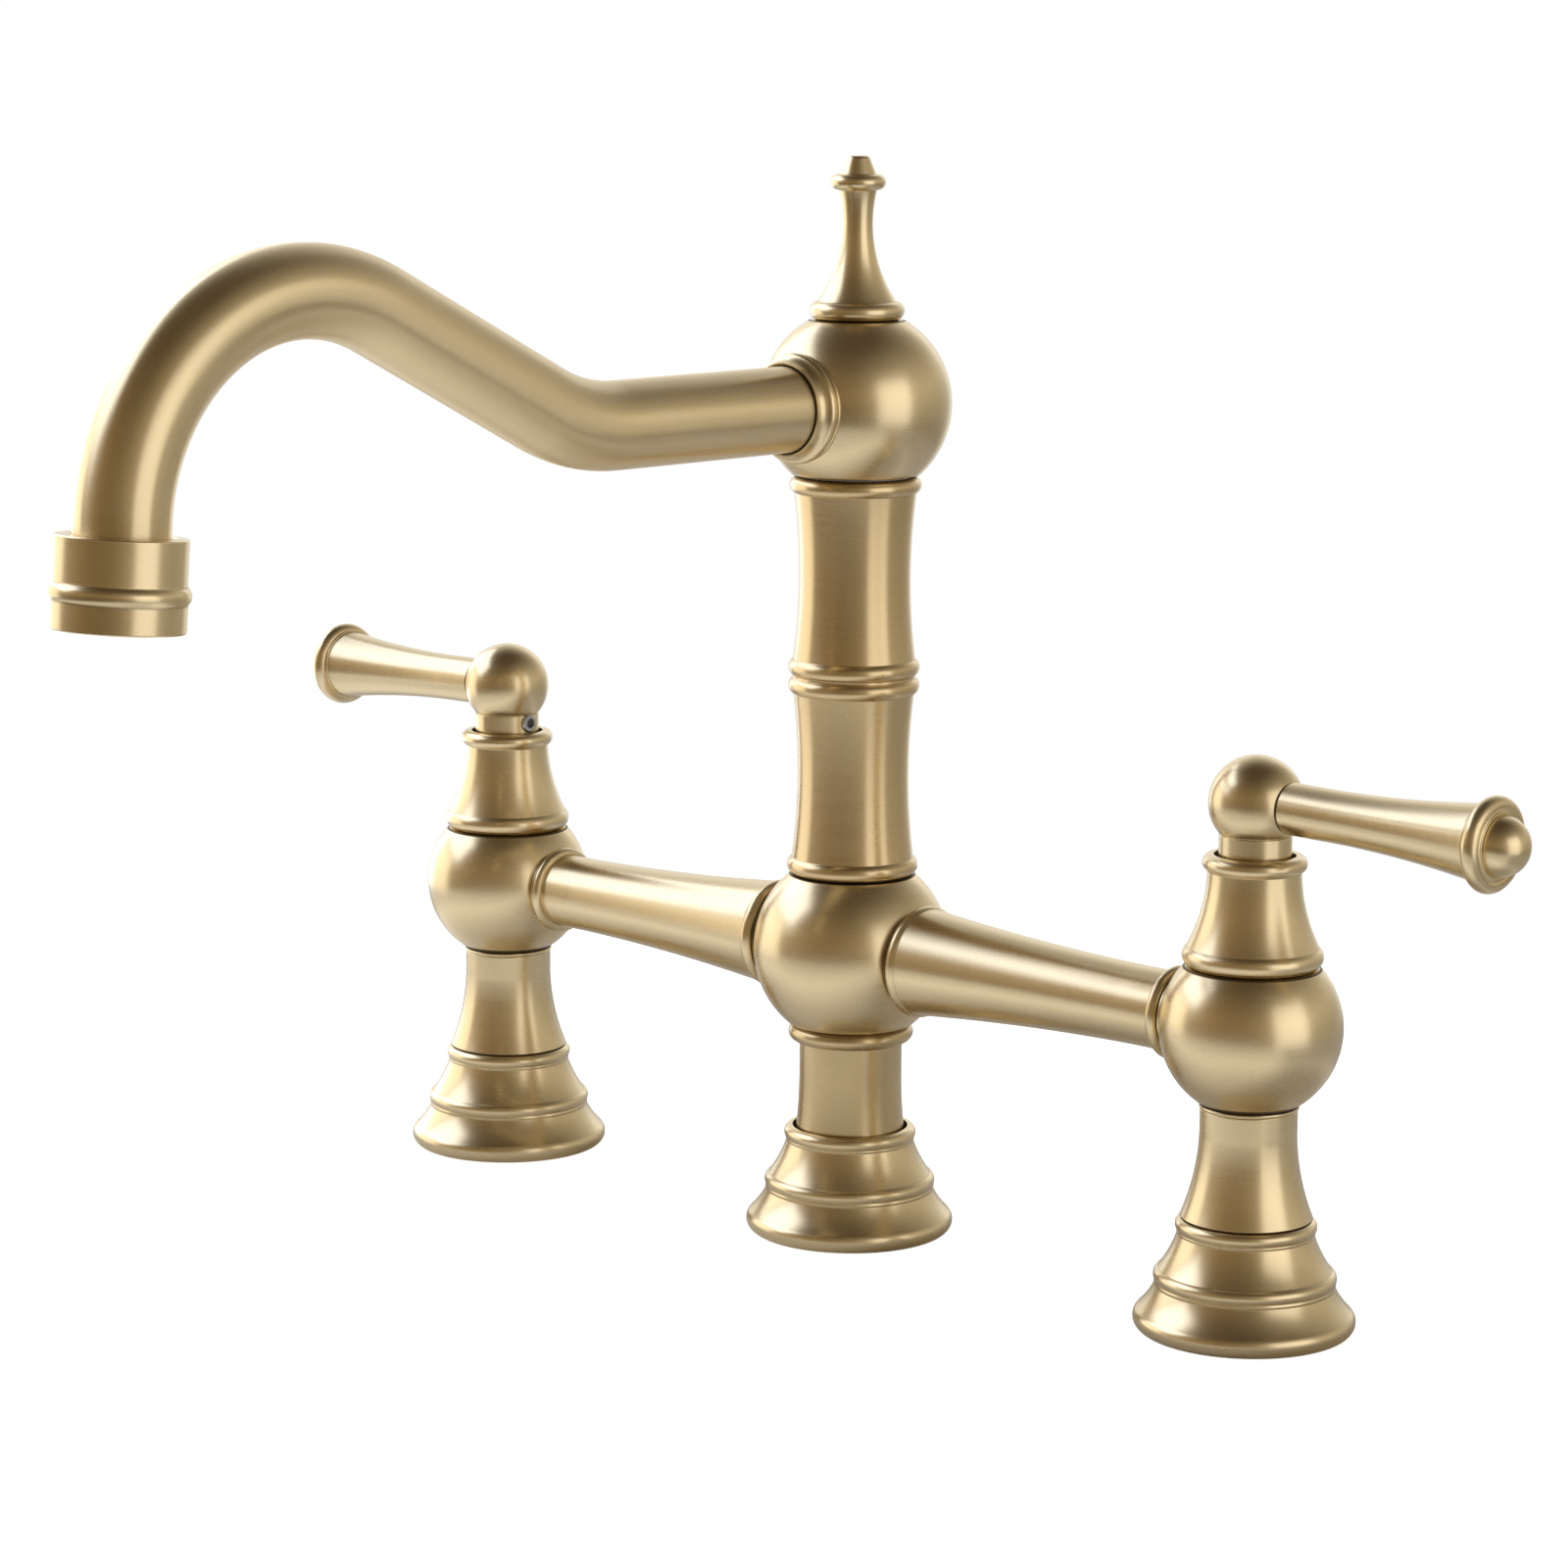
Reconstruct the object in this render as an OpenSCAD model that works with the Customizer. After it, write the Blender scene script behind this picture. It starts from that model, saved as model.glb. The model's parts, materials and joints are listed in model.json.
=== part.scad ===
// Three-hole bridge faucet with two lever handles and a swivelling S-bend spout.
// Millimetres. +Z is up, the deck is Z = 0, and the origin is under the centre post.
// The spout points to -Y. The levers point outwards along X when the valves are shut.

/* [Bridge] */
// Distance between the axes of the two outer columns
outer_centres = 203.2; // [190:0.1:240]
// Height of the bridge axis above the deck
bridge_height = 59; // [57:0.5:70]
// Radius of the two valve balls
valve_ball_r = 17.4; // [16.8:0.1:18.5]
// Radius of the centre ball
centre_ball_r = 19.95; // [19.2:0.05:21.5]
// Radius of an arm where it runs straight beside a valve ball
arm_outer_r = 7.75; // [7.4:0.05:8.2]
// Radius of an arm beside its inner collar bead
arm_inner_r = 10.7; // [10:0.1:11]
// Length of the straight stretch of an arm beside the outer collar bead
arm_straight = 8; // [4:0.5:14]
// How far the arm's taper is hollowed below a straight line
arm_hollow = 0.57; // [0.2:0.01:0.9]
// Radius of the collar bead at a valve ball
outer_collar_r = 9.15; // [8.8:0.05:9.6]
// Width of the collar bead at a valve ball
outer_collar_w = 2.4; // [1.8:0.1:3]
// Radius of the collar bead at the centre ball
inner_collar_r = 11.3; // [11.1:0.1:12]
// Width of the collar bead at the centre ball
inner_collar_w = 2.8; // [2:0.1:3.2]
// Width of the turned groove between a collar bead and its ball
collar_groove = 1; // [0.6:0.1:1.4]
// Radius of the waterway through the arms, balls and necks
waterway_r = 5; // [4:0.1:5.4]

/* [Feet] */
// Radius of the rounded rim on the deck
foot_rim_r = 21.2; // [20.6:0.1:23]
// Height of the rounded rim
foot_rim_h = 4.7; // [4:0.1:5.4]
// Radius of the flare where it leaves the rim
foot_flare_r = 20.3; // [19.9:0.1:20.5]
// Height of the lower bead's underside
foot_bead_low = 9; // [8:0.1:10]
// Radius of the lower bead
foot_bead_r = 17.45; // [17.2:0.05:18.2]
// Height of the lower bead itself
foot_bead_h = 3.2; // [2.6:0.1:3.6]
// Height of the upper bead itself
foot_top_bead_h = 3; // [2.4:0.1:3.4]
// Radius of the upper bead
foot_top_bead_r = 13.5; // [13.4:0.1:14]
// Overall height of a foot
foot_h = 22.1; // [21.4:0.1:24]
// Radius of the foot's body under the upper bead
foot_waist_r = 13; // [12.9:0.1:13.3]
// Radius of the foot's opening round the centre post
foot_ring_bore_r = 11.75; // [11.5:0.05:11.9]
// Wall of the foot shell at its flare
foot_wall = 2.8; // [2:0.1:3.2]
// Width of the rubber seal ring under a foot
seal_w = 2.6; // [2:0.1:3]
// Thickness of the rubber seal ring
seal_h = 1.5; // [1:0.1:2]

/* [Necks and centre post] */
// Radius of a neck where it rests on its foot
neck_foot_r = 12.7; // [12.4:0.1:13]
// Radius of a neck under its ball
neck_top_r = 9.25; // [9:0.05:9.8]
// Height at which the neck's flare has run out
neck_flare_top = 38.5; // [34:0.5:41]
// How far the neck's flare is hollowed below a straight line
neck_hollow = 0.75; // [0.4:0.05:0.85]
// Radius of the neck's plain tail inside the foot
neck_tail_r = 11; // [10.6:0.1:11.2]
// Radius of the tapping hole for the water inlet thread
inlet_r = 7.5; // [7:0.05:8]
// Length of the tapping hole for the water inlet thread
inlet_len = 14; // [10:0.5:16]
// Radius of the bead on top of the centre post
post_bead_r = 12.75; // [12.4:0.05:13.4]
// Height of the bead on top of the centre post
post_bead_h = 3.6; // [3:0.1:4.2]
// Radius of the centre post under its bead
post_r = 10.45; // [10.2:0.05:10.8]
// Radius of the centre post in its foot
post_foot_r = 11.1; // [10.9:0.05:11.2]
// Height at which the centre post starts to flare
post_flare_top = 33; // [28:0.5:36]
// Radius of the tapping hole for the fixing stud
stud_r = 4.25; // [3.3:0.05:5.1]
// Depth of the tapping hole for the fixing stud
stud_len = 20; // [12:0.5:28]

/* [Riser] */
// Length of the riser between the centre ball and the spout ball
riser_len = 80.8; // [70:0.1:110]
// Radius of the riser's beads
riser_bead_r = 13.25; // [13:0.05:14]
// Height of the riser's bottom bead
riser_low_bead_h = 3.8; // [3:0.1:4.2]
// Height of each of the two beads in the middle
riser_mid_bead_h = 3.7; // [3:0.1:4.2]
// Height of the riser's top bead
riser_top_bead_h = 3.5; // [3:0.1:4.2]
// Height of the middle of the two beads above the riser's foot
riser_mid = 40.5; // [34:0.5:46]
// Radius of the riser beside its beads
riser_end_r = 12.2; // [12:0.05:12.4]
// How far each half of the riser is hollowed
riser_hollow = 1.05; // [0.5:0.05:1.3]
// Radius of the bored socket for the swivel stem
swivel_bore_r = 8.1; // [7.9:0.05:8.4]
// Depth of the bored socket for the swivel stem
swivel_depth = 27; // [24:0.5:30]

/* [Spout] */
// Radius of the spout ball
spout_ball_r = 19.1; // [18.7:0.1:20.5]
// Outside radius of the spout tube
tube_r = 8.5; // [8:0.1:8.8]
// Wall of the spout tube
tube_wall = 1.5; // [1:0.1:2]
// Reach of the level run from the riser's axis to the first bend
level_run = 68; // [45:0.5:90]
// Radius of the first bend, measured on the tube's axis
rise_bend_r = 43; // [30:0.5:60]
// Length of the rising run
rise_run = 44.5; // [30:0.5:70]
// Radius of the arch, measured on the tube's axis
arch_r = 40.4; // [30:0.1:55]
// Radius of the collar's thin ring at the spout ball
collar_r = 10.6; // [10.3:0.05:10.9]
// Width of the collar's thin ring
collar_ring_w = 0.9; // [0.7:0.1:1.2]
// Radius of the collar's bead
collar_bead_r = 10.95; // [10.7:0.05:11.2]
// Width of the collar's bead
collar_bead_w = 2.2; // [1.8:0.1:2.5]
// Radius of the collar's mouth round the tube
collar_mouth_r = 9.3; // [9.1:0.1:9.6]
// Length of the collar outside the ball
collar_len = 5.3; // [5:0.1:6.5]
// Radius of the outlet housing's upper part
outlet_r = 11.6; // [11.2:0.1:12]
// Radius of the outlet housing's bead
outlet_bead_r = 12.4; // [12.2:0.1:13]
// Radius of the outlet housing's lower part
outlet_low_r = 11.75; // [11.4:0.05:12]
// Length of the outlet housing's upper part
outlet_upper_len = 7.75; // [6.5:0.05:10]
// Height of the outlet housing's bead
outlet_bead_h = 4; // [3:0.1:4.4]
// Length of the outlet housing's lower part
outlet_lower_len = 4.45; // [4.2:0.05:7]
// Gap between the arch and the top of the outlet housing
outlet_drop = 2.6; // [1:0.1:6]
// Radius of the aerator's shell
aerator_r = 9.9; // [9.4:0.1:10.2]
// Height of the aerator's shell
aerator_h = 7.5; // [6:0.1:9]
// Radius of one jet hole in the aerator's face
jet_r = 0.7; // [0.5:0.05:0.8]

/* [Finial] */
// Radius of the finial's base
finial_base_r = 9.5; // [9:0.1:10.5]
// Height of the finial's base
finial_base_h = 3.7; // [3:0.1:4.5]
// Radius of the finial's slim neck
finial_neck_r = 3; // [2.7:0.05:3.5]
// Height of the slim neck above the finial's foot
finial_neck_z = 19.2; // [16:0.1:21]
// Radius of the curve that sweeps into the slim neck
finial_sweep_r = 27.5; // [25:0.1:32]
// Height of the finial's bead above its foot
finial_bead_z = 25.6; // [24.5:0.1:28]
// Radius of the finial's bead
finial_bead_r = 5.5; // [5:0.1:6.2]
// Height of the finial's bead itself
finial_bead_h = 3.1; // [2.6:0.1:3.8]
// Radius of the tapered tip at its foot
finial_tip_r = 3.6; // [3.2:0.1:3.9]
// Radius of the tapered tip at its top edge
finial_tip_top_r = 2.2; // [1.6:0.1:2.8]
// Height of the tapered tip
finial_tip_h = 3.6; // [3:0.1:4.4]

/* [Bells] */
// Radius of the bell's rounded lip
bell_lip_r = 13.35; // [13.1:0.05:14]
// Height of the bell's rounded lip
bell_lip_h = 4.4; // [3.8:0.1:5]
// Radius of the ball's turned flat under the bell
bell_seat_r = 12.95; // [12.6:0.05:13.1]
// Overall height of the bell
bell_h = 21.5; // [20.5:0.1:25]
// Radius of the bell under its top bead
bell_neck_r = 8.8; // [8.6:0.05:9.2]
// Radius of the bell's top bead
bell_bead_r = 9.87; // [9.7:0.05:10.6]
// Height of the bell's top bead
bell_bead_h = 3.2; // [2.6:0.1:3.8]
// How far the bell's flare is hollowed
bell_hollow = 0.85; // [0.4:0.05:0.95]
// Radius of the bell's opening round the handle stem
bell_bore_r = 7.7; // [7.5:0.05:7.9]

/* [Handles] */
// Radius of the handle stem
stem_r = 6.87; // [6.5:0.01:7]
// How far the handle stem reaches down into the bell
stem_drop = 5.7; // [5:0.1:7.5]
// Radius of the handle ball
handle_ball_r = 9; // [8.6:0.1:9.8]
// Height of the handle ball's centre above the bell's top
handle_rise = 9.8; // [9.2:0.1:12]
// Droop of the levers, in degrees
lever_droop = 1; // [0:0.5:3]
// Radius of the lever beside the handle ball
lever_r = 4.9; // [4.5:0.05:5.4]
// Distance from the handle's axis to the end of the lever's tapered grip
lever_len = 50.6; // [44:0.1:70]
// Length of the lever's straight root, from the handle's axis
lever_root = 18; // [14:0.5:24]
// Radius of the lever's wide end
lever_end_r = 7.25; // [6.8:0.05:7.7]
// How far the lever's taper is hollowed
lever_hollow = 0.55; // [0.3:0.05:0.8]
// Radius of the rounded flange at the lever's end
flange_r = 8.95; // [8.6:0.05:10]
// Thickness of the rounded flange
flange_w = 3.4; // [2.8:0.1:4]
// Radius of the domed end cap
cap_r = 5.75; // [5.2:0.05:6.2]
// Radius of the cap's stub inside the lever
cap_stub_r = 3; // [2.5:0.1:3.5]
// Length of the cap's stub inside the lever
cap_stub_len = 8; // [5:0.5:12]
// Radius of the grub screw that holds the handle
grub_r = 2; // [1.5:0.1:2.4]
// How far the grub screw stands out of the stem
grub_proud = 0.5; // [0.2:0.1:0.55]
// Width across the flats of the grub screw's socket
grub_socket = 2; // [1.5:0.1:2.4]
// Height of the grub screw above the bell's top
grub_rise = 2.1; // [1.5:0.1:2.2]

/* [Valve cartridges] */
// Radius of the cartridge's lower body
cartridge_r = 9.4; // [9:0.1:9.6]
// Radius of the cartridge's flange on the valve ball
cartridge_flange_r = 10.5; // [10.2:0.1:10.6]
// Thickness of the cartridge's flange
cartridge_flange_h = 3; // [2:0.1:3.5]
// Width across the flats of the cartridge's hexagon
cartridge_hex = 16; // [14:0.5:16]
// Height of the cartridge's hexagon
cartridge_hex_h = 4; // [3:0.1:5]
// Radius of the gland above the hexagon
gland_r = 6; // [5.4:0.1:6.4]
// Height of the gland above the hexagon
gland_h = 5; // [4:0.1:6]
// Radius of the spindle
spindle_r = 4; // [3.6:0.05:4.2]
// Radius of the spindle's top in the handle
spindle_top_r = 3.4; // [3:0.05:3.5]
// Radius of the chamber that holds the discs
chamber_r = 7.9; // [7.6:0.1:8.2]
// Thickness of each ceramic disc
disc_h = 3; // [2.4:0.1:3.4]
// Thickness of the rubber seat under the discs
seat_h = 2; // [1.5:0.1:2.5]

/* [Hidden] */
$fn = 72;

brass = [0.72, 0.58, 0.37];
raw_brass = [0.78, 0.64, 0.34];
steel = [0.66, 0.66, 0.68];
rubber = [0.09, 0.09, 0.10];
ceramic = [0.90, 0.90, 0.87];
nylon = [0.86, 0.85, 0.80];

// Clearances. Pieces of one body that plug together, and pieces that turn in each other.
plug_gap = 0.05;
run_gap = 0.06;
free_gap = 0.3;
// A little extra so that a cutting shape passes right through.
cut = 1;
// Depth of a plugged or screwed joint between two pieces.
plug_len = 5.5;
// How deep a hollowed band runs into the round of the bead beside it.
bite = 0.4;

left = -1;
right = 1;
half_span = outer_centres / 2;

// Height above a ball's centre of a flat of radius r turned on a ball of radius big_r.
function cap_height(big_r, r) = sqrt(big_r * big_r - r * r);

neck_seat_z = bridge_height - cap_height(valve_ball_r, neck_top_r);
neck_shoulder = 1.35;
neck_plug_r = neck_top_r - neck_shoulder;
bell_seat_z = bridge_height + cap_height(valve_ball_r, bell_seat_r);
bell_top_z = bell_seat_z + bell_h;

riser_seat_r = 12.6;
riser_z = bridge_height + cap_height(centre_ball_r, riser_seat_r);
riser_top_z = riser_z + riser_len;
riser_plug_r = 8.6;
riser_bore_r = 6;
post_seat_z = bridge_height - cap_height(centre_ball_r, riser_seat_r);

swivel_gap = 0.3;
spout_seat_r = 12.8;
spout_seat_z = riser_top_z + swivel_gap;
spout_z = spout_seat_z + cap_height(spout_ball_r, spout_seat_r);
finial_z = spout_z + cap_height(spout_ball_r, finial_base_r);
finial_stub_r = 3;
finial_stub_len = 8;

// Depth of the turned groove between a collar bead and its ball.
collar_step = 1;
arm_plug_out_r = 7.2;
arm_plug_in_r = 8.6;
outer_seat_r = outer_collar_r - collar_step;
valve_face = cap_height(valve_ball_r, outer_seat_r);
inner_seat_r = inner_collar_r - 1.7 * collar_step;
centre_face = cap_height(centre_ball_r, inner_seat_r);
arm_from = centre_face;
arm_to = half_span - valve_face;

handle_z = bell_top_z + handle_rise;
grub_z = bell_top_z + grub_rise;
stem_foot_z = bell_top_z - stem_drop;
stem_top_z = handle_z - cap_height(handle_ball_r, stem_r);
lever_plug_from = 4.2;

seat_z = neck_seat_z + plug_len + 1.2;
fixed_disc_z = seat_z + seat_h;
moving_disc_z = fixed_disc_z + disc_h + plug_gap;
spindle_foot_z = moving_disc_z + disc_h;
spindle_foot_h = 2.2;
spindle_foot_w = 2.4;
spindle_foot_r = 6.5;
chamber_top_z = spindle_foot_z + spindle_foot_h + free_gap;
hex_z = bell_seat_z + cartridge_flange_h;
gland_z = hex_z + cartridge_hex_h;
gland_top_z = gland_z + gland_h;
spindle_over_grub = 3.4;
spindle_top_z = grub_z + spindle_over_grub;
spindle_shoulder_z = stem_foot_z - free_gap;
disc_r = chamber_r - 0.1;
moving_disc_r = chamber_r - 0.4;
// Thickness of the rubber ring on the spindle, and where it lies.
spindle_ring_w = 1;
spindle_ring_z = hex_z + cartridge_hex_h / 2;

// The swivel stem, its rings and its snap ring.
swivel_r = swivel_bore_r - run_gap;
swivel_plug_r = 7;
swivel_foot_gap = 1;
swivel_foot_z = riser_top_z - swivel_depth + swivel_foot_gap;
swivel_bore = 5;
ring_w = 1.8;
ring_pitch = 8;
ring_zs = [riser_top_z - 2 * ring_pitch, riser_top_z - ring_pitch];
snap_foot = 2.5;
snap_z = swivel_foot_z + snap_foot;
snap_h = 1.2;
snap_groove_r = swivel_bore_r - 1;
snap_out_r = swivel_bore_r + 0.5;
washer_in_r = swivel_bore_r + 0.4;
washer_out_r = 11.4;
washer_recess = 0.8;

// How far the tube reaches into the housing, and where it starts inside the ball.
tube_in_housing = 5;
collar_seat = cap_height(spout_ball_r, collar_r);
tube_start = 11;
// Slope of the rising run and sweep of the arch, in degrees. To six digits, the sine and the
// cosine of both still make a unit direction, so that bends and runs meet without a step.
rise_angle = 26.457;
arch_angle = 111.77;

outlet_len = outlet_upper_len + outlet_bead_h + outlet_lower_len;
aerator_inset = 0.5;
screen_h = 1.6;

// Outlines of turned pieces lie in the plane of radius and height.
// A band between two heights, hollowed by the depth sag below the straight line.
module band(z1, r1, z2, r2, sag = 0) {
    p = [r1, z1];
    q = [r2, z2];
    chord = norm(q - p);
    away = [z2 - z1, r1 - r2] / chord;
    bow_r = sag == 0 ? 0 : (chord * chord / 4 + sag * sag) / (2 * sag);
    difference() {
        polygon([[0, z1], p, q, [0, z2]]);
        if (sag > 0)
            translate((p + q) / 2 + away * (bow_r - sag)) circle(bow_r, $fn = 240);
    }
}

// A full-round bead between two heights, filled to the axis.
module bead(z1, z2, r) {
    round_r = (z2 - z1) / 2;
    translate([r - round_r, z1 + round_r]) circle(round_r);
    translate([0, z1]) square([r - round_r, z2 - z1]);
}

// A straight cylinder or bore in the same plane.
module core(z1, z2, r) {
    translate([0, z1]) square([r, z2 - z1]);
}

// The half of a ball between two heights.
module ball_outline(z, r, z1, z2) {
    intersection() {
        translate([0, z]) circle(r, $fn = 144);
        translate([0, z1]) square([r + cut, z2 - z1]);
    }
}

module turned() {
    rotate_extrude($fn = 96) children();
}

module at_side(side) {
    translate([side * half_span, 0, 0]) children();
}

// Lays a turned piece along the arm of one side, its height becoming distance from the centre.
module along_arm(side) {
    translate([0, 0, bridge_height]) rotate([0, side * 90, 0]) children();
}

// Lays a turned piece along a lever, its height becoming distance from the handle's axis.
module along_lever(side) {
    at_side(side) translate([0, 0, handle_z]) rotate([0, side * (90 + lever_droop), 0]) children();
}

// The foot shell, shared by all three columns. bore_r is the opening in its top.
module foot(bore_r) {
    bead_top = foot_bead_low + foot_bead_h;
    top_bead_low = foot_h - foot_top_bead_h;
    rim_nose = foot_rim_h / 2;
    flare_z = rim_nose + sqrt(rim_nose * rim_nose - pow(foot_flare_r - foot_rim_r + rim_nose, 2));
    color(brass) turned() difference() {
        union() {
            bead(0, foot_rim_h, foot_rim_r);
            band(flare_z, foot_flare_r, foot_bead_low + bite, foot_bead_r - 0.45, 0.25);
            bead(foot_bead_low, bead_top, foot_bead_r);
            band(bead_top - bite, foot_bead_r - 0.95, top_bead_low + bite, foot_waist_r, 0.3);
            bead(top_bead_low, foot_h, foot_top_bead_r);
        }
        core(-cut, seal_h, seal_out_r());
        band(seal_h - 0.01, seal_out_r(), top_bead_low - 3, bore_r, 0);
        core(-cut, foot_h + cut, bore_r);
    }
}
function seal_out_r() = foot_bead_r - 0.4;

module foot_left() {
    at_side(left) foot(neck_tail_r + plug_gap);
}
module foot_centre() {
    foot(foot_ring_bore_r);
}
module foot_right() {
    at_side(right) foot(neck_tail_r + plug_gap);
}
module foot_seals() {
    color(rubber) for (x = [-half_span, 0, half_span]) translate([x, 0, 0]) turned() difference() {
        core(0, seal_h, seal_out_r() - plug_gap);
        core(-cut, seal_h + cut, seal_out_r() - plug_gap - seal_w);
    }
}

// The neck carries a valve ball on its foot and brings the water in from below.
module neck() {
    color(brass) turned() difference() {
        union() {
            core(0.5, foot_h, neck_tail_r);
            band(foot_h, neck_foot_r, neck_flare_top, neck_top_r, neck_hollow);
            core(neck_flare_top, neck_seat_z, neck_top_r);
            bead(neck_seat_z - 0.9, neck_seat_z, neck_top_r + 0.25);
            core(neck_seat_z, neck_seat_z + plug_len, neck_plug_r);
        }
        core(-cut, 0.5 + inlet_len, inlet_r);
        core(-cut, neck_seat_z + plug_len + cut, waterway_r);
    }
}
module neck_left() {
    at_side(left) neck();
}
module neck_right() {
    at_side(right) neck();
}

// The centre post stands on the deck inside its foot and takes the fixing stud.
module post_centre() {
    color(brass) turned() difference() {
        union() {
            core(0, foot_h - 1, post_foot_r);
            band(foot_h - 1, post_foot_r, post_flare_top, post_r, 0.15);
            core(post_flare_top, post_seat_z - post_bead_h + 0.1, post_r);
            bead(post_seat_z - post_bead_h, post_seat_z, post_bead_r);
            core(post_seat_z, post_seat_z + plug_len, riser_plug_r);
        }
        core(-cut, stud_len, stud_r);
    }
}

// A valve ball: the neck plugs in from below, the arm from the side, the cartridge from above.
module valve_ball(side) {
    color(brass) at_side(side) difference() {
        turned() difference() {
            ball_outline(bridge_height, valve_ball_r, neck_seat_z, bell_seat_z);
            core(neck_seat_z - cut, neck_seat_z + plug_len, neck_plug_r + plug_gap);
            core(neck_seat_z, seat_z + cut, waterway_r);
            core(seat_z, bell_seat_z + cut, cartridge_r + plug_gap);
        }
        translate([0, 0, bridge_height]) rotate([0, -side * 90, 0]) {
            translate([0, 0, valve_face]) cylinder(r = valve_ball_r, h = valve_ball_r);
            translate([0, 0, valve_face - plug_len])
                cylinder(r = arm_plug_out_r + plug_gap, h = valve_ball_r);
            cylinder(r = waterway_r, h = valve_ball_r);
        }
    }
}
module valve_ball_left() {
    valve_ball(left);
}
module valve_ball_right() {
    valve_ball(right);
}

// The centre ball mixes the two waters and carries the riser, the post and both arms.
module centre_ball() {
    color(brass) difference() {
        turned() difference() {
            ball_outline(bridge_height, centre_ball_r, post_seat_z, riser_z);
            core(post_seat_z - cut, post_seat_z + plug_len, riser_plug_r + plug_gap);
            core(riser_z - plug_len, riser_z + cut, riser_plug_r + plug_gap);
            core(bridge_height, riser_z, riser_bore_r);
        }
        for (side = [left, right]) along_arm(side) {
            translate([0, 0, centre_face]) cylinder(r = centre_ball_r, h = centre_ball_r);
            translate([0, 0, centre_face - plug_len])
                cylinder(r = arm_plug_in_r + plug_gap, h = centre_ball_r);
            cylinder(r = waterway_r, h = centre_ball_r);
        }
    }
}

// An arm: a hollow tapered turning with a collar bead and a grooved plug at each end.
module arm(side) {
    bead_in = arm_from + collar_groove;
    bead_out = arm_to - collar_groove;
    taper_from = bead_in + inner_collar_w;
    taper_to = bead_out - outer_collar_w;
    color(brass) along_arm(side) turned() difference() {
        union() {
            core(arm_from - plug_len, arm_from, arm_plug_in_r);
            core(arm_from, bead_in + 0.1, inner_seat_r);
            bead(bead_in, taper_from, inner_collar_r);
            band(taper_from - bite, arm_inner_r, taper_to - arm_straight, arm_outer_r, arm_hollow);
            core(taper_to - arm_straight, taper_to + 0.1, arm_outer_r);
            bead(taper_to, bead_out, outer_collar_r);
            core(bead_out - 0.1, arm_to, outer_seat_r);
            core(arm_to, arm_to + plug_len, arm_plug_out_r);
        }
        core(arm_from - plug_len - cut, arm_to + plug_len + cut, waterway_r);
    }
}
module arm_left() {
    arm(left);
}
module arm_right() {
    arm(right);
}

// The riser: two waisted halves, beads at both ends and two beads in the middle.
module riser() {
    low = riser_z + riser_low_bead_h;
    mid = riser_z + riser_mid;
    high = riser_top_z - riser_top_bead_h;
    snap_room = 0.3;
    color(brass) turned() difference() {
        union() {
            core(riser_z - plug_len, riser_z, riser_plug_r);
            bead(riser_z, low, riser_bead_r);
            band(low - bite, riser_end_r, mid - riser_mid_bead_h + bite, riser_end_r, riser_hollow);
            bead(mid - riser_mid_bead_h, mid, riser_bead_r);
            core(mid - 0.4, mid + 0.4, riser_end_r + 0.2);
            bead(mid, mid + riser_mid_bead_h, riser_bead_r);
            band(mid + riser_mid_bead_h - bite, riser_end_r, high + bite, riser_end_r, riser_hollow);
            bead(high, riser_top_z, riser_bead_r);
        }
        core(riser_z - plug_len - cut, riser_top_z, riser_bore_r);
        core(riser_top_z - swivel_depth, riser_top_z + cut, swivel_bore_r);
        core(snap_z - snap_room, snap_z + snap_h + snap_room, snap_out_r + snap_room);
        core(riser_top_z - washer_recess, riser_top_z + cut, washer_out_r + plug_gap);
    }
}

// Slip washer between the riser and the turning spout ball.
module swivel_washer() {
    color(nylon) turned() difference() {
        core(riser_top_z - washer_recess, spout_seat_z, washer_out_r);
        core(riser_top_z - cut, spout_seat_z + cut, washer_in_r);
    }
}

// The hollow stem that is screwed into the spout ball and turns in the riser.
module swivel_stem() {
    color(raw_brass) turned() difference() {
        union() {
            core(swivel_foot_z, spout_seat_z, swivel_r);
            core(spout_seat_z, spout_seat_z + plug_len, swivel_plug_r);
        }
        core(swivel_foot_z - cut, spout_seat_z + plug_len + cut, swivel_bore);
        for (z = ring_zs) groove(z - ring_w / 2, z + ring_w / 2, swivel_bore_r - 0.1 - ring_w, swivel_r);
        groove(snap_z, snap_z + snap_h, snap_groove_r, swivel_r);
    }
}

// A groove cut into a shaft between two heights, down to the radius r_in.
module groove(z1, z2, r_in, r_out) {
    translate([r_in, z1]) square([r_out - r_in + cut, z2 - z1]);
}

module swivel_o_rings() {
    color(rubber) for (z = ring_zs) rotate_extrude($fn = 96)
        translate([swivel_bore_r - 0.1 - ring_w / 2, z]) circle(ring_w / 2 - 0.02, $fn = 48);
}

// Split ring that keeps the stem in the riser.
module snap_ring() {
    slit = 2.4;
    color(steel) difference() {
        turned() difference() {
            core(snap_z + 0.05, snap_z + snap_h - 0.05, snap_out_r);
            core(snap_z - cut, snap_z + snap_h + cut, snap_groove_r + plug_gap);
        }
        translate([0, -slit / 2, snap_z - cut]) cube([snap_out_r + cut, slit, snap_h + 2 * cut]);
    }
}

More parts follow.
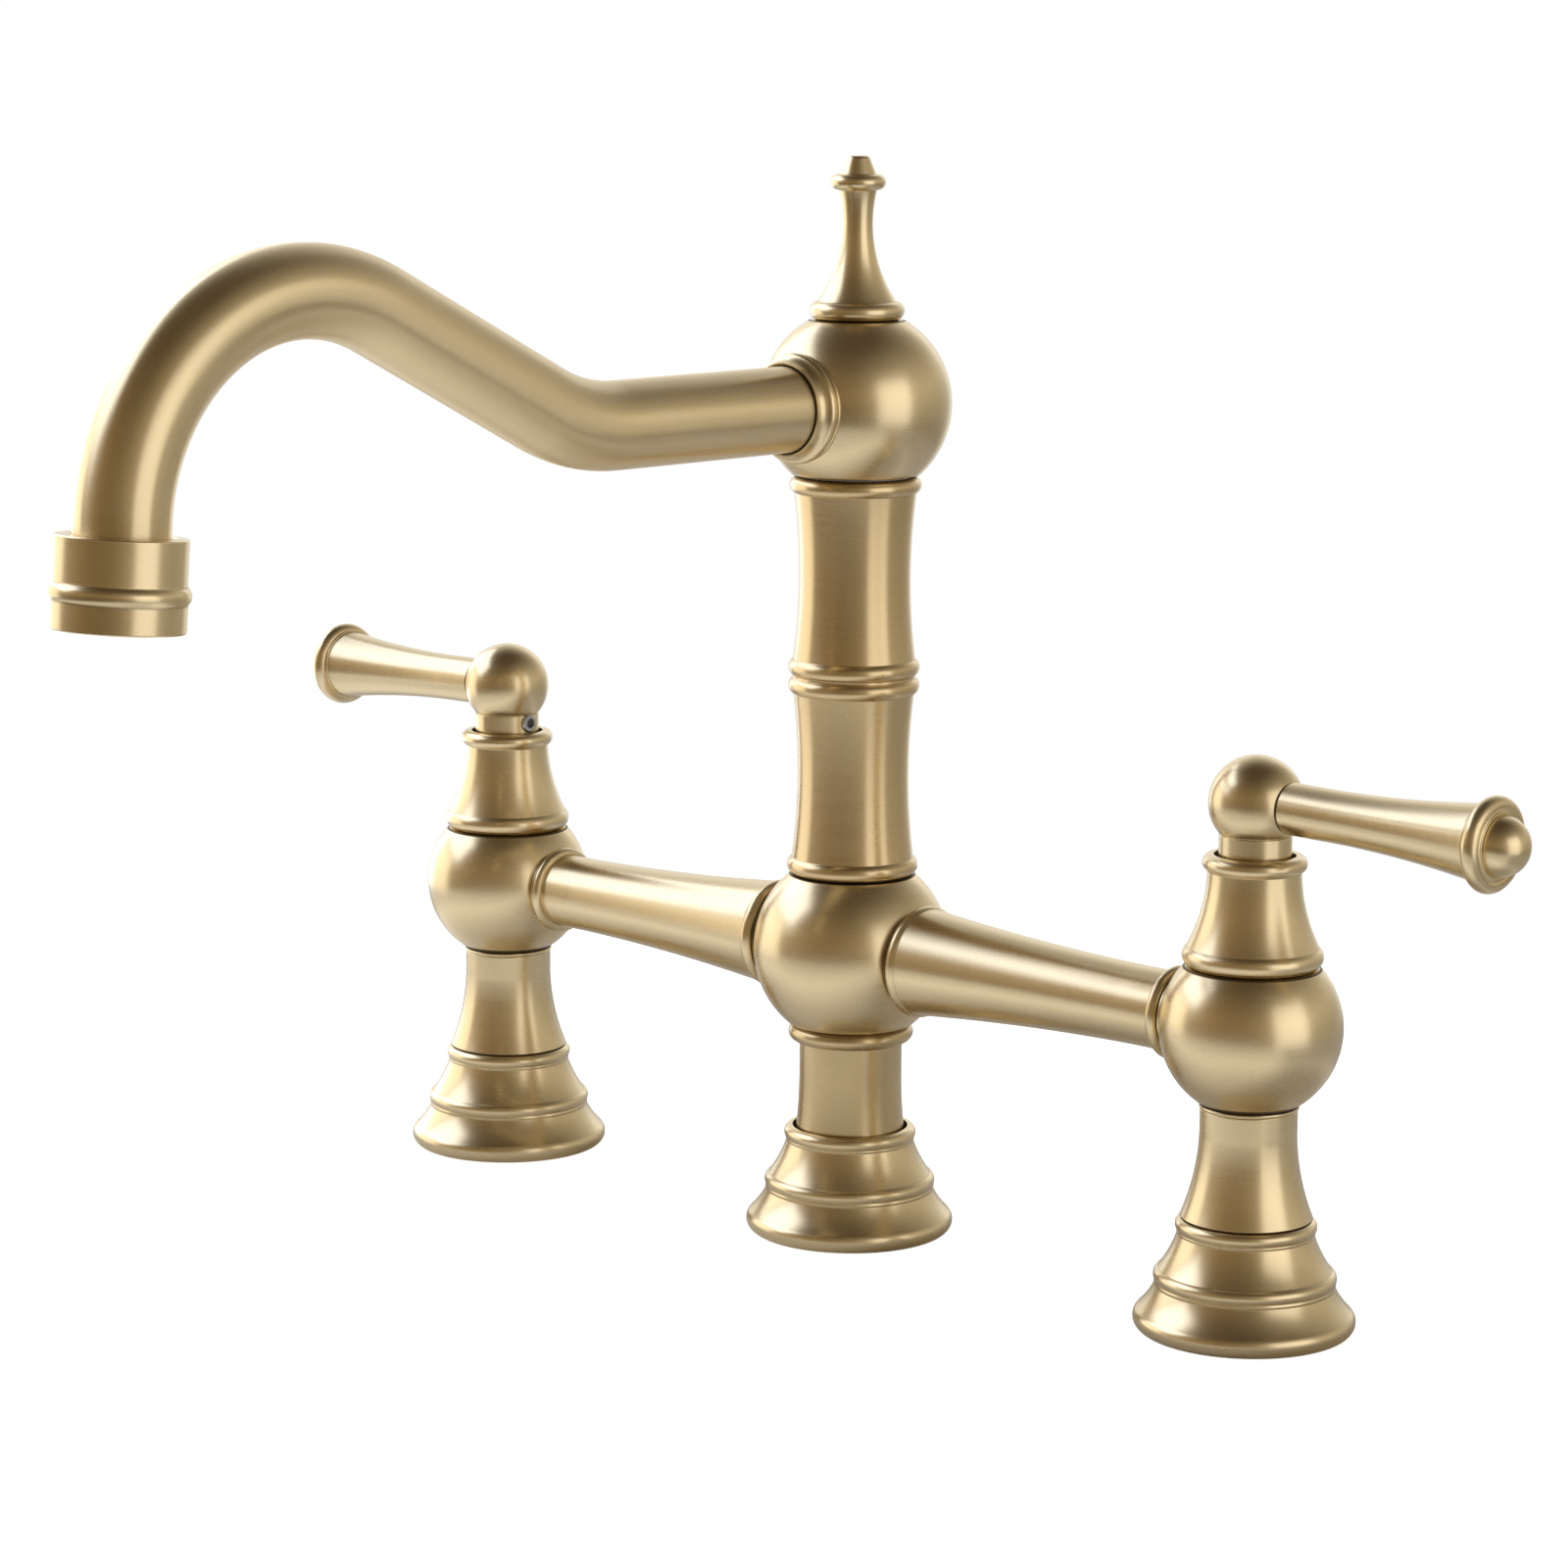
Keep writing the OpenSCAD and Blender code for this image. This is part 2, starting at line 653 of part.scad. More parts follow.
// The spout ball: the stem from below, the tube from the front and the finial on top.
module spout_ball() {
    color(brass) difference() {
        turned() difference() {
            ball_outline(spout_z, spout_ball_r, spout_seat_z, finial_z);
            core(spout_seat_z - cut, spout_seat_z + plug_len, swivel_plug_r + plug_gap);
            core(spout_seat_z, spout_z, swivel_bore);
            core(finial_z - finial_stub_len - plug_gap, finial_z + cut, finial_stub_r + plug_gap);
        }
        translate([0, 0, spout_z]) rotate([90, 0, 0]) {
            translate([0, 0, collar_seat]) cylinder(r = spout_ball_r, h = spout_ball_r);
            translate([0, 0, tube_start]) cylinder(r = tube_r + plug_gap, h = spout_ball_r);
            cylinder(r = swivel_bore, h = spout_ball_r);
        }
    }
}

// Collar where the tube enters the ball: a thin ring, a groove, a bead and a hollow mouth.
module spout_collar() {
    groove_w = 0.15;
    ring_top = collar_seat + collar_ring_w;
    bead_from = ring_top + groove_w;
    bead_to = bead_from + collar_bead_w;
    mouth = collar_seat + collar_len;
    color(brass) translate([0, 0, spout_z]) rotate([90, 0, 0]) turned() difference() {
        union() {
            bead(collar_seat, ring_top, collar_r);
            core(collar_seat, bead_from + bite, collar_r - collar_ring_w / 2);
            bead(bead_from, bead_to, collar_bead_r);
            band(bead_to - bite, collar_bead_r - 0.55, mouth, collar_mouth_r, 0.3);
        }
        core(collar_seat - cut, mouth + cut, tube_r + plug_gap);
        translate([tube_r + plug_gap, mouth]) circle(0.35, $fn = 48);
    }
}

// The spout's plane: X is the distance in front of the riser, Y is the height.
module in_spout_plane() {
    rotate([90, 0, -90]) children();
}

// The spout's axis as a chain of frames, each with X along the tube.
module at_level_end() {
    translate([level_run, spout_z, 0]) children();
}
module past_rise_bend() {
    past_bend(rise_bend_r, rise_angle) children();
}
module past_rise_run() {
    translate([rise_run, 0, 0]) children();
}
module past_arch() {
    past_bend(-arch_r, -arch_angle) children();
}

// The frame after a bend. A bend downwards has a negative radius and sweep.
module past_bend(bend_r, sweep) {
    translate([0, bend_r, 0]) turn(sweep) translate([0, -bend_r, 0]) children();
}
// Turns by an angle, and then by the little that six digits of its sine and cosine leave out.
module turn(a) {
    rotate([0, 0, a]) rotate([0, 0, a - atan2(six(sin(a)), six(cos(a)))]) children();
}
function six(x) = round(x / digit(x)) * digit(x);
function digit(x) = pow(10, floor(log(abs(x))) - 5);

// A straight length of round bar from the frame's origin along X.
module bar(length, r) {
    rotate([0, 90, 0]) cylinder(r = r, h = length);
}
// A bend of round bar from the frame's origin.
module bent_bar(bend_r, sweep, r) {
    translate([0, bend_r, 0]) rotate([0, 0, bend_r > 0 ? -90 : 90])
        rotate_extrude(angle = sweep, $fn = 144) translate([abs(bend_r), 0]) circle(r);
}
// A round bar along the whole path. Both ends are longer by extra.
module spout_bar(r, extra) {
    at_level_end() {
        translate([tube_start - level_run - extra, 0, 0]) bar(level_run - tube_start + extra, r);
        bent_bar(rise_bend_r, rise_angle, r);
        past_rise_bend() {
            bar(rise_run, r);
            past_rise_run() {
                bent_bar(-arch_r, -arch_angle, r);
                past_arch() bar(outlet_drop + tube_in_housing + extra, r);
            }
        }
    }
}
module spout_tube() {
    color(brass) in_spout_plane() difference() {
        spout_bar(tube_r, 0);
        spout_bar(tube_r - tube_wall, cut);
    }
}

// Lays a turned piece along the outlet, its height becoming distance down from the housing's top.
module along_outlet() {
    in_spout_plane() at_level_end() past_rise_bend() past_rise_run() past_arch()
        translate([outlet_drop, 0, 0]) rotate([0, 90, 0]) children();
}

// Housing that screws over the tube's end and holds the aerator.
module outlet_housing() {
    bead_z = outlet_upper_len;
    low_z = outlet_upper_len + outlet_bead_h;
    soft = 0.5;
    color(brass) along_outlet() turned() difference() {
        union() {
            band(0, outlet_r - soft, soft, outlet_r, 0);
            core(soft, bead_z + 0.5, outlet_r);
            bead(bead_z, low_z, outlet_bead_r);
            core(low_z - 0.5, outlet_len - soft, outlet_low_r);
            band(outlet_len - soft, outlet_low_r, outlet_len, outlet_low_r - soft, 0);
        }
        core(-cut, tube_in_housing, tube_r + plug_gap);
        core(0, outlet_len, tube_r - tube_wall);
        core(outlet_len - aerator_inset - aerator_h, outlet_len + cut, aerator_r + plug_gap);
    }
}

// Aerator: a shell screwed into the housing and a screen with rings of jet holes.
module aerator_shell() {
    shell_wall = 1.3;
    color(steel) along_outlet() turned() difference() {
        core(outlet_len - aerator_inset - aerator_h, outlet_len - aerator_inset, aerator_r);
        core(0, outlet_len + cut, aerator_r - shell_wall);
    }
}
module aerator_screen() {
    screen_r = aerator_r - 1.3 - plug_gap;
    pitch = 2.2;
    rings = floor((screen_r - jet_r - 0.6) / pitch);
    color(nylon) along_outlet() translate([0, 0, outlet_len - aerator_inset - 1 - screen_h])
        linear_extrude(screen_h) difference() {
            circle(screen_r, $fn = 96);
            circle(jet_r, $fn = 24);
            for (k = [1 : rings], i = [0 : 6 * k - 1])
                rotate(i * 60 / k) translate([k * pitch, 0]) circle(jet_r, $fn = 24);
        }
}

// Turned finial: a rounded base, a long sweep to a slim neck, a bead and a domed tip.
module finial() {
    neck_z = finial_z + finial_neck_z;
    bead_z = finial_z + finial_bead_z;
    shoulder = finial_base_h / 2;
    bead_top = bead_z + finial_bead_h;
    tip_z = bead_top + finial_tip_h;
    soft = 0.5;
    color(brass) turned() {
        core(finial_z - finial_stub_len, finial_z, finial_stub_r);
        bead(finial_z, finial_z + finial_base_h, finial_base_r);
        difference() {
            core(finial_z + shoulder, bead_z + 0.1, finial_base_r - 1.2);
            translate([finial_neck_r + finial_sweep_r, neck_z]) circle(finial_sweep_r, $fn = 240);
        }
        bead(bead_z, bead_top, finial_bead_r);
        band(bead_top - bite, finial_tip_r, tip_z - soft, finial_tip_top_r, 0);
        band(tip_z - soft, finial_tip_top_r, tip_z, finial_tip_top_r - soft, 0);
    }
}

// Bell over the cartridge: a rounded lip on the ball, a hollow flare and an open top bead.
module bell() {
    lip_top = bell_seat_z + bell_lip_h;
    bead_z = bell_top_z - bell_bead_h;
    over_flange_r = cartridge_flange_r + free_gap;
    over_hex_r = cartridge_hex / 2 / cos(30) + free_gap;
    color(brass) turned() difference() {
        union() {
            bead(bell_seat_z, lip_top, bell_lip_r);
            band(lip_top - 2 * bite, bell_lip_r - 0.7, bead_z + bite, bell_neck_r, bell_hollow);
            bead(bead_z, bell_top_z, bell_bead_r);
        }
        polygon([
            [0, bell_seat_z - cut], [over_flange_r, bell_seat_z - cut],
            [over_flange_r, hex_z + free_gap], [over_hex_r, gland_z], [bell_bore_r, gland_top_z],
            [bell_bore_r, bell_top_z + cut], [0, bell_top_z + cut],
        ]);
    }
}
module bell_left() {
    at_side(left) bell();
}
module bell_right() {
    at_side(right) bell();
}

// Quarter-turn cartridge: a windowed body round the discs, a flange, a hexagon and a gland.
module cartridge() {
    window_w = 8;
    window_h = disc_h + spindle_foot_h;
    color(raw_brass) difference() {
        union() {
            turned() {
                core(seat_z, bell_seat_z + 0.1, cartridge_r);
                core(bell_seat_z, hex_z, cartridge_flange_r);
                core(hex_z, gland_top_z, gland_r);
            }
            translate([0, 0, hex_z])
                cylinder(r = cartridge_hex / 2 / cos(30), h = cartridge_hex_h, $fn = 6);
        }
        turned() {
            core(seat_z - cut, chamber_top_z, chamber_r);
            core(seat_z, gland_top_z + cut, spindle_r + run_gap);
        }
        translate([-cartridge_r - cut, -window_w / 2, moving_disc_z])
            cube([2 * (cartridge_r + cut), window_w, window_h]);
    }
}
module cartridge_left() {
    at_side(left) cartridge();
}
module cartridge_right() {
    at_side(right) cartridge();
}

// Rubber seats under the fixed discs.
module seat_seals() {
    color(rubber) for (x = [-half_span, half_span]) translate([x, 0, 0]) turned() difference() {
        core(seat_z, fixed_disc_z, disc_r);
        core(seat_z - cut, fixed_disc_z + cut, waterway_r);
    }
}

// Each ceramic disc has two ports, opposite each other.
module disc(z, r) {
    port_r = 2;
    port_at = 3.3;
    color(ceramic) translate([0, 0, z]) linear_extrude(disc_h) difference() {
        circle(r);
        for (a = [90, 270]) rotate(a) translate([port_at, 0]) circle(port_r, $fn = 48);
    }
}
module fixed_discs() {
    for (side = [left, right]) at_side(side) disc(fixed_disc_z, disc_r);
}
module moving_disc_left() {
    at_side(left) rotate(90) disc(moving_disc_z, moving_disc_r);
}
module moving_disc_right() {
    at_side(right) rotate(90) disc(moving_disc_z, moving_disc_r);
}

// The spindle turns the moving disc with a flat bar and carries the handle.
module spindle() {
    body_z = spindle_foot_z + spindle_foot_h;
    color(raw_brass) {
        turned() difference() {
            union() {
                core(body_z, spindle_shoulder_z, spindle_r);
                core(spindle_shoulder_z, spindle_top_z, spindle_top_r);
            }
            groove(spindle_ring_z - spindle_ring_w / 2, spindle_ring_z + spindle_ring_w / 2,
                spindle_r - spindle_ring_w, spindle_r);
        }
        translate([-spindle_foot_w / 2, -spindle_foot_r, spindle_foot_z])
            cube([spindle_foot_w, 2 * spindle_foot_r, spindle_foot_h]);
    }
}
module spindle_left() {
    at_side(left) spindle();
}
module spindle_right() {
    at_side(right) spindle();
}
module spindle_seal() {
    color(rubber) rotate_extrude($fn = 96)
        translate([spindle_r - spindle_ring_w / 2, spindle_ring_z])
            circle(spindle_ring_w / 2 - 0.02, $fn = 48);
}
module spindle_seal_left() {
    at_side(left) spindle_seal();
}
module spindle_seal_right() {
    at_side(right) spindle_seal();
}

// Handle hub: a stem that drops into the bell and a ball that takes the lever.
module hub(side) {
    seam = 0.25;
    color(brass) difference() {
        at_side(side) turned() difference() {
            union() {
                core(stem_foot_z, stem_top_z + 0.5, stem_r);
                ball_outline(handle_z, handle_ball_r, stem_top_z, handle_z + handle_ball_r);
            }
            core(stem_foot_z - cut, spindle_top_z + plug_gap, spindle_top_r + plug_gap);
            groove(stem_top_z - seam, stem_top_z, stem_r - seam, stem_r);
        }
        along_lever(side) translate([0, 0, lever_plug_from])
            cylinder(r = lever_r + plug_gap, h = handle_ball_r);
        at_side(side) translate([0, 0, grub_z]) rotate([0, -side * 90, 0])
            cylinder(r = grub_r + plug_gap, h = stem_r + cut);
    }
}
module hub_left() {
    hub(left);
}
module hub_right() {
    hub(right);
}

// Lever: a plugged root, a hollowed taper and a rounded flange with a dished face.
module lever(side) {
    flange_z = lever_len + 0.5;
    face_z = flange_z + flange_w;
    color(brass) along_lever(side) turned() difference() {
        union() {
            core(lever_plug_from, lever_root + 0.1, lever_r);
            band(lever_root, lever_r, lever_len, lever_end_r, lever_hollow);
            core(lever_len - 0.1, flange_z + 1, lever_end_r + 0.35);
            bead(flange_z, face_z, flange_r);
        }
        core(face_z - cap_stub_len, face_z + cut, cap_stub_r + plug_gap);
        translate([cap_r + 0.95, face_z + 0.25]) circle(0.6, $fn = 48);
    }
}
module lever_left() {
    lever(left);
}
module lever_right() {
    lever(right);
}

// Domed cap screwed into the lever's end.
module lever_cap(side) {
    face_z = lever_len + 0.5 + flange_w;
    color(brass) along_lever(side) turned() {
        core(face_z - cap_stub_len, face_z + 0.1, cap_stub_r);
        ball_outline(face_z - 0.3, cap_r, face_z, face_z + cap_r);
    }
}
module lever_cap_left() {
    lever_cap(left);
}
module lever_cap_right() {
    lever_cap(right);
}

// Socket grub screw through the stem, on the side away from the lever.
module grub_screw(side) {
    from = spindle_top_r + plug_gap;
    to = stem_r + grub_proud;
    socket_depth = 2;
    soft = 0.3;
    color(steel) at_side(side) translate([0, 0, grub_z]) rotate([0, -side * 90, 0]) difference() {
        turned() {
            core(from, to - soft, grub_r);
            band(to - soft, grub_r, to, grub_r - soft, 0);
        }
        translate([0, 0, to - socket_depth])
            cylinder(r = grub_socket / 2 / cos(30), h = socket_depth + cut, $fn = 6);
    }
}
module grub_screw_left() {
    grub_screw(left);
}
module grub_screw_right() {
    grub_screw(right);
}

foot_left();
foot_centre();
foot_right();
foot_seals();
neck_left();
neck_right();
post_centre();
valve_ball_left();
valve_ball_right();
centre_ball();
arm_left();
arm_right();
riser();
swivel_washer();
swivel_stem();
swivel_o_rings();
snap_ring();
spout_ball();
spout_collar();
spout_tube();
outlet_housing();
aerator_shell();
aerator_screen();
finial();
bell_left();
bell_right();
cartridge_left();
cartridge_right();
seat_seals();
fixed_discs();
moving_disc_left();
moving_disc_right();
spindle_left();
spindle_right();
spindle_seal_left();
spindle_seal_right();
hub_left();
hub_right();
lever_left();
lever_right();
lever_cap_left();
lever_cap_right();
grub_screw_left();
grub_screw_right();
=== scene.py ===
# Studio scene of a three-hole bridge faucet in satin brushed brass.
# Lengths in the faucet's classes are millimetres; the studio's and Blender's own are metres.
import json
import logging
import math
from collections.abc import Callable
from dataclasses import dataclass, field
from enum import Enum

import bpy
from mathutils import Matrix, Vector

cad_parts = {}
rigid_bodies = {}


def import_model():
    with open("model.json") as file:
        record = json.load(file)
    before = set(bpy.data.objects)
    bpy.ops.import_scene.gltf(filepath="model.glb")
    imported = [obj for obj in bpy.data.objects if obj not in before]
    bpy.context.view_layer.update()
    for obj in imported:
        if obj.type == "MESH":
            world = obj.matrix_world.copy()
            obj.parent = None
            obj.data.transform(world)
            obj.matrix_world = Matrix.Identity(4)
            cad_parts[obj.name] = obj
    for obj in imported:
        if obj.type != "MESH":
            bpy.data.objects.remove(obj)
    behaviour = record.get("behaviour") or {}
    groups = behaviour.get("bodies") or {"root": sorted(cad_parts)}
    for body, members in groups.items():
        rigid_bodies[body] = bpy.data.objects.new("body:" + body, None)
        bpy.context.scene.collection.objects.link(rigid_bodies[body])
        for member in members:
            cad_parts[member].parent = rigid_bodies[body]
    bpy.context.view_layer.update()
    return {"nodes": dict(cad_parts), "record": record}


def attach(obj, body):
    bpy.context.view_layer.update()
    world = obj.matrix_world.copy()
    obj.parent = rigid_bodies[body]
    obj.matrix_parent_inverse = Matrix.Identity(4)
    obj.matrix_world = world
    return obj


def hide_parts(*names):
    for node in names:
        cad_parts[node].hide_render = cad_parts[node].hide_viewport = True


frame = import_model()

LOG = logging.getLogger("bridge_faucet")
MM = 0.001
# How close two points, or a point and the axis, have to be to count as one, in millimetres.
TINY = 1e-6
SAME_SPOT = 1e-5
ON_AXIS = 1e-4
CLOSEST = 2e-4

# Facets round a turned piece, a hub and the bent tube, and steps of a bead and of a bowed wall.
TURN_STEPS = 112
HUB_STEPS = 160
BEND_STEPS = 72
BEAD_STEPS = 22
BOW_STEP = 0.8
BOW_STEPS_LEAST = 10

# Softer corners and more facets, for the balls.
BALL_CUT = {"soft": 0.2, "steps": 144}

# Edge mask of the turned meshes: rubbed edge, plain wall, inner corner with a little painted shade,
# and joint with full painted shade.
EDGE = 1.0
FLAT_EDGE = 0.5
ROOT = 0.36
JOINT = 0.0

# Rounding of corners: least turn, reach at a joint, shares of wall that may be used, steps.
SHARP_TURN = math.radians(11)
JOINT_SOFT = 0.36
SHARE_ON = 0.45
SHARE_BACK = 0.9
CROWDED = 0.8
CORNER_STEPS = 5

# Play between a bore and what stands in it.
SLIP = 0.05

TUBE_CHART = "girth_and_length"
EDGE_MASK = "turned_edge"
WHITE = (1.0, 1.0, 1.0)

Point = tuple[float, float]
Colour = tuple[float, float, float]
Span = tuple[float, ...]
Socket = bpy.types.NodeSocket
Feed = Socket | Vector | Colour | float


class Side(Enum):
    """The two valve columns, by the direction in which their levers point."""

    LEFT = -1
    RIGHT = 1

    @property
    def tag(self) -> str:
        """Return the ending of this side's piece names."""
        return self.name.lower()


class Grain(Enum):
    """How the brass was brushed, and so where its fine lines run."""

    TURNED = "turned"
    DRAWN = "drawn"


def within_one(value: float) -> float:
    """Return the value, kept between -1 and 1."""
    return max(-1.0, min(1.0, value))


class Outline:
    """Half outline of a turned piece, as points of radius and height in millimetres."""

    def __init__(self, radius: float, height: float) -> None:
        """Start the outline.

        Args:
            radius: Distance of the first point from the axis.
            height: Height of the first point.
        """
        self.points: list[Point] = [(radius, height)]
        self.joints: set[int] = set()

    @property
    def closed(self) -> bool:
        """Return whether the outline ends where it began."""
        return math.dist(self.points[0], self.points[-1]) < TINY

    def to(self, radius: float, height: float) -> "Outline":
        """Draw a straight line.

        Args:
            radius: Distance of the line's end from the axis.
            height: Height of the line's end.

        Returns:
            The outline itself, so that calls can be chained.
        """
        last = self.points[-1]
        if math.hypot(last[0] - radius, last[1] - height) > SAME_SPOT:
            self.points.append((radius, height))
        return self

    def joint(self, count: int = 1) -> "Outline":
        """Mark the last points as the line where two pieces meet, which gets dark painted shade.

        Args:
            count: Number of points to mark.

        Returns:
            The outline itself.
        """
        self.joints.update(range(len(self.points) - count, len(self.points)))
        return self

    def bow(self, radius: float, height: float, sag: float) -> "Outline":
        """Draw an arc that lies below the straight line, on the axis side of an outer wall.

        Args:
            radius: Distance of the arc's end from the axis.
            height: Height of the arc's end.
            sag: Greatest depth of the arc under the straight line.

        Returns:
            The outline itself.
        """
        start = Vector(self.points[-1])
        end = Vector((radius, height))
        chord = (end - start).length
        out = Vector((end.y - start.y, start.x - end.x)) / chord
        bow_radius = (chord * chord / 4 + sag * sag) / (2 * sag)
        centre = (start + end) / 2 + out * (bow_radius - sag)
        first = math.atan2(start.y - centre.y, start.x - centre.x)
        sweep = 2 * math.asin(chord / 2 / bow_radius)
        steps = max(BOW_STEPS_LEAST, int(chord / BOW_STEP))
        for step in range(1, steps + 1):
            angle = first - sweep * step / steps
            self.to(centre.x + bow_radius * math.cos(angle),
                    centre.y + bow_radius * math.sin(angle))
        self.points[-1] = (radius, height)
        return self

    def bead(self, low: float, high: float, radius: float, enter: float | None = None,
             leave: float | None = None, met_below: int = 0, met_above: int = 0) -> "Outline":
        """Draw a full-round bead from its underside to its top.

        Args:
            low: Height of the bead's underside.
            high: Height of its top.
            radius: Greatest distance of the bead from the axis.
            enter: Radius at which the wall below runs into the bead.
            leave: Radius at which the wall above comes out of the bead.
            met_below: Number of points of its underside that face another piece closely.
            met_above: Number of points of its top that do.

        Returns:
            The outline itself.
        """
        nose = (high - low) / 2
        centre = radius - nose
        begin = -math.pi / 2 if enter is None else -math.acos(within_one((enter - centre) / nose))
        end = math.pi / 2 if leave is None else math.acos(within_one((leave - centre) / nose))
        for step in range(BEAD_STEPS + 1):
            angle = begin + (end - begin) * step / BEAD_STEPS
            self.to(centre + nose * math.cos(angle), low + nose + nose * math.sin(angle))
            if met_below and step == met_below:
                self.joint(met_below)
        return self.joint(met_above)

    def ball(self, centre: float, radius: float, height: float, steps: int = 72,
             met_below: int = 0) -> "Outline":
        """Draw a stretch of a ball that is centred on the axis.

        Args:
            centre: Height of the ball's centre.
            radius: Radius of the ball.
            height: Height at which the stretch ends.
            steps: Number of straight steps in the stretch.
            met_below: Number of its first points that face another piece closely.

        Returns:
            The outline itself.
        """
        first = math.asin(within_one((self.points[-1][1] - centre) / radius))
        last = math.asin(within_one((height - centre) / radius))
        for step in range(steps + 1):
            angle = first + (last - first) * step / steps
            reach = radius * math.cos(angle)
            self.to(reach if reach > ON_AXIS else 0.0, centre + radius * math.sin(angle))
            if met_below and step == met_below:
                self.joint(met_below)
        return self

    def sweep(self, centre: Point, radius: float, first: float, last: float,
              steps: int) -> "Outline":
        """Draw an arc round a point beside the axis.

        Args:
            centre: Radius and height of the arc's centre.
            radius: Radius of the arc.
            first: Angle at which it begins, in degrees from the outward direction.
            last: Angle at which it ends.
            steps: Number of straight steps in the arc.

        Returns:
            The outline itself.
        """
        for step in range(steps + 1):
            angle = math.radians(first + (last - first) * step / steps)
            self.to(centre[0] + radius * math.cos(angle), centre[1] + radius * math.sin(angle))
        return self

    def close(self) -> "Outline":
        """Draw a straight line back to the first point, which makes a ring-shaped solid."""
        return self.to(*self.points[0])


@dataclass
class Station:
    """One ring of a turned mesh: where it lies, which way it faces and how edge-like it is."""

    radius: float
    height: float
    facing: Point
    edge: float


def walk(points: list[Point], start: int, reach: float) -> tuple[Vector, int]:
    """Walk forwards along an outline from one of its points.

    Args:
        points: The outline.
        start: Index of the point to start from.
        reach: Distance to walk.

    Returns:
        The place reached and the index of the next point beyond it.
    """
    here = Vector(points[start])
    for index in range(start + 1, len(points)):
        way = Vector(points[index]) - here
        if way.length >= reach:
            return here + way * (reach / max(way.length, 1e-9)), index
        reach -= way.length
        here = Vector(points[index])
    return here, len(points) - 1


def corner_turn(points: list[Point], index: int) -> float:
    """Measure how sharply an outline turns at a point.

    Args:
        points: The outline.
        index: Index of a point inside it.

    Returns:
        The turn in radians, positive to the left.
    """
    before = Vector(points[index]) - Vector(points[index - 1])
    after = Vector(points[index + 1]) - Vector(points[index])
    return math.atan2(before.x * after.y - before.y * after.x, before.dot(after))


def rounded(outline: Outline, soft: float) -> list[tuple[Vector, float]]:
    """Round every sharp corner of an outline.

    Args:
        outline: The outline, drawn upwards along its outer wall.
        soft: Length of wall that each corner's rounding takes up.

    Returns:
        The points of the rounded outline, each with its edge mask.
    """
    points = outline.points
    turns = {index: corner_turn(points, index) for index in range(1, len(points) - 1)}
    sharp = [index for index, turn in turns.items()
             if abs(turn) > SHARP_TURN and points[index][0] > TINY]
    places: list[tuple[Vector, float]] = []
    index = 0
    while index < len(points):
        corner = Vector(points[index])
        met = index in outline.joints
        if index not in sharp:
            places.append((corner, JOINT if met else FLAT_EDGE))
            index += 1
            continue
        reach = JOINT_SOFT if met else soft
        ahead = min((other for other in sharp if other > index), default=len(points) - 1)
        room = sum(math.dist(points[k], points[k + 1]) for k in range(index, ahead))
        reach_back = min(reach, SHARE_BACK * (corner - places[-1][0]).length)
        while len(places) > 1 and places[-1][1] == FLAT_EDGE and reach_back < reach * CROWDED \
                and (corner - places[-1][0]).length < reach * SHARE_BACK:
            places.pop()
            reach_back = min(reach, SHARE_BACK * (corner - places[-1][0]).length)
        begin = corner + (places[-1][0] - corner).normalized() * reach_back
        end, following = walk(points, index, min(reach, SHARE_ON * room))
        # An outline that goes upwards along an outer wall turns left at a convex edge.
        # Joints get full painted shade and inner corners a little, through the edge mask.
        mark = JOINT if met else EDGE if turns[index] > 0 else ROOT
        for step in range(CORNER_STEPS + 1):
            t = step / CORNER_STEPS
            spot = begin * (1 - t) ** 2 + corner * (2 * t * (1 - t)) + end * t ** 2
            places.append((spot, mark if 0 < step < CORNER_STEPS else FLAT_EDGE))
        index = following
    return places


def stations_of(outline: Outline, soft: float) -> list[Station]:
    """Round an outline's corners and give each point its exact facing.

    Args:
        outline: The outline, drawn upwards along its outer wall.
        soft: Length of wall that each corner's rounding takes up.

    Returns:
        The rings of the turned mesh, in order.
    """
    clean: list[tuple[Vector, float]] = []
    for spot, mark in rounded(outline, soft):
        if not clean or (spot - clean[-1][0]).length > CLOSEST:
            clean.append((spot, mark))
    ways = [after[0] - before[0] for before, after in zip(clean, clean[1:])]
    rings = []
    for index, (spot, mark) in enumerate(clean):
        total = sum(ways[max(index - 1, 0):index + 1], Vector((0.0, 0.0)))
        if outline.closed and index in (0, len(clean) - 1):
            total = ways[0] + ways[-1]
        total.normalize()
        facing = (total.y, -total.x)
        if spot.x < TINY:
            facing = (0.0, 1.0 if index else -1.0)
        rings.append(Station(max(spot.x, 0.0), spot.y, facing, mark))
    return rings


def placed(name: str, data: bpy.types.ID) -> bpy.types.Object:
    """Make an object and link it to the scene.

    Args:
        name: Name of the object.
        data: Its mesh, lamp or camera.

    Returns:
        The new object.
    """
    thing = bpy.data.objects.new(name, data)
    bpy.context.scene.collection.objects.link(thing)
    return thing


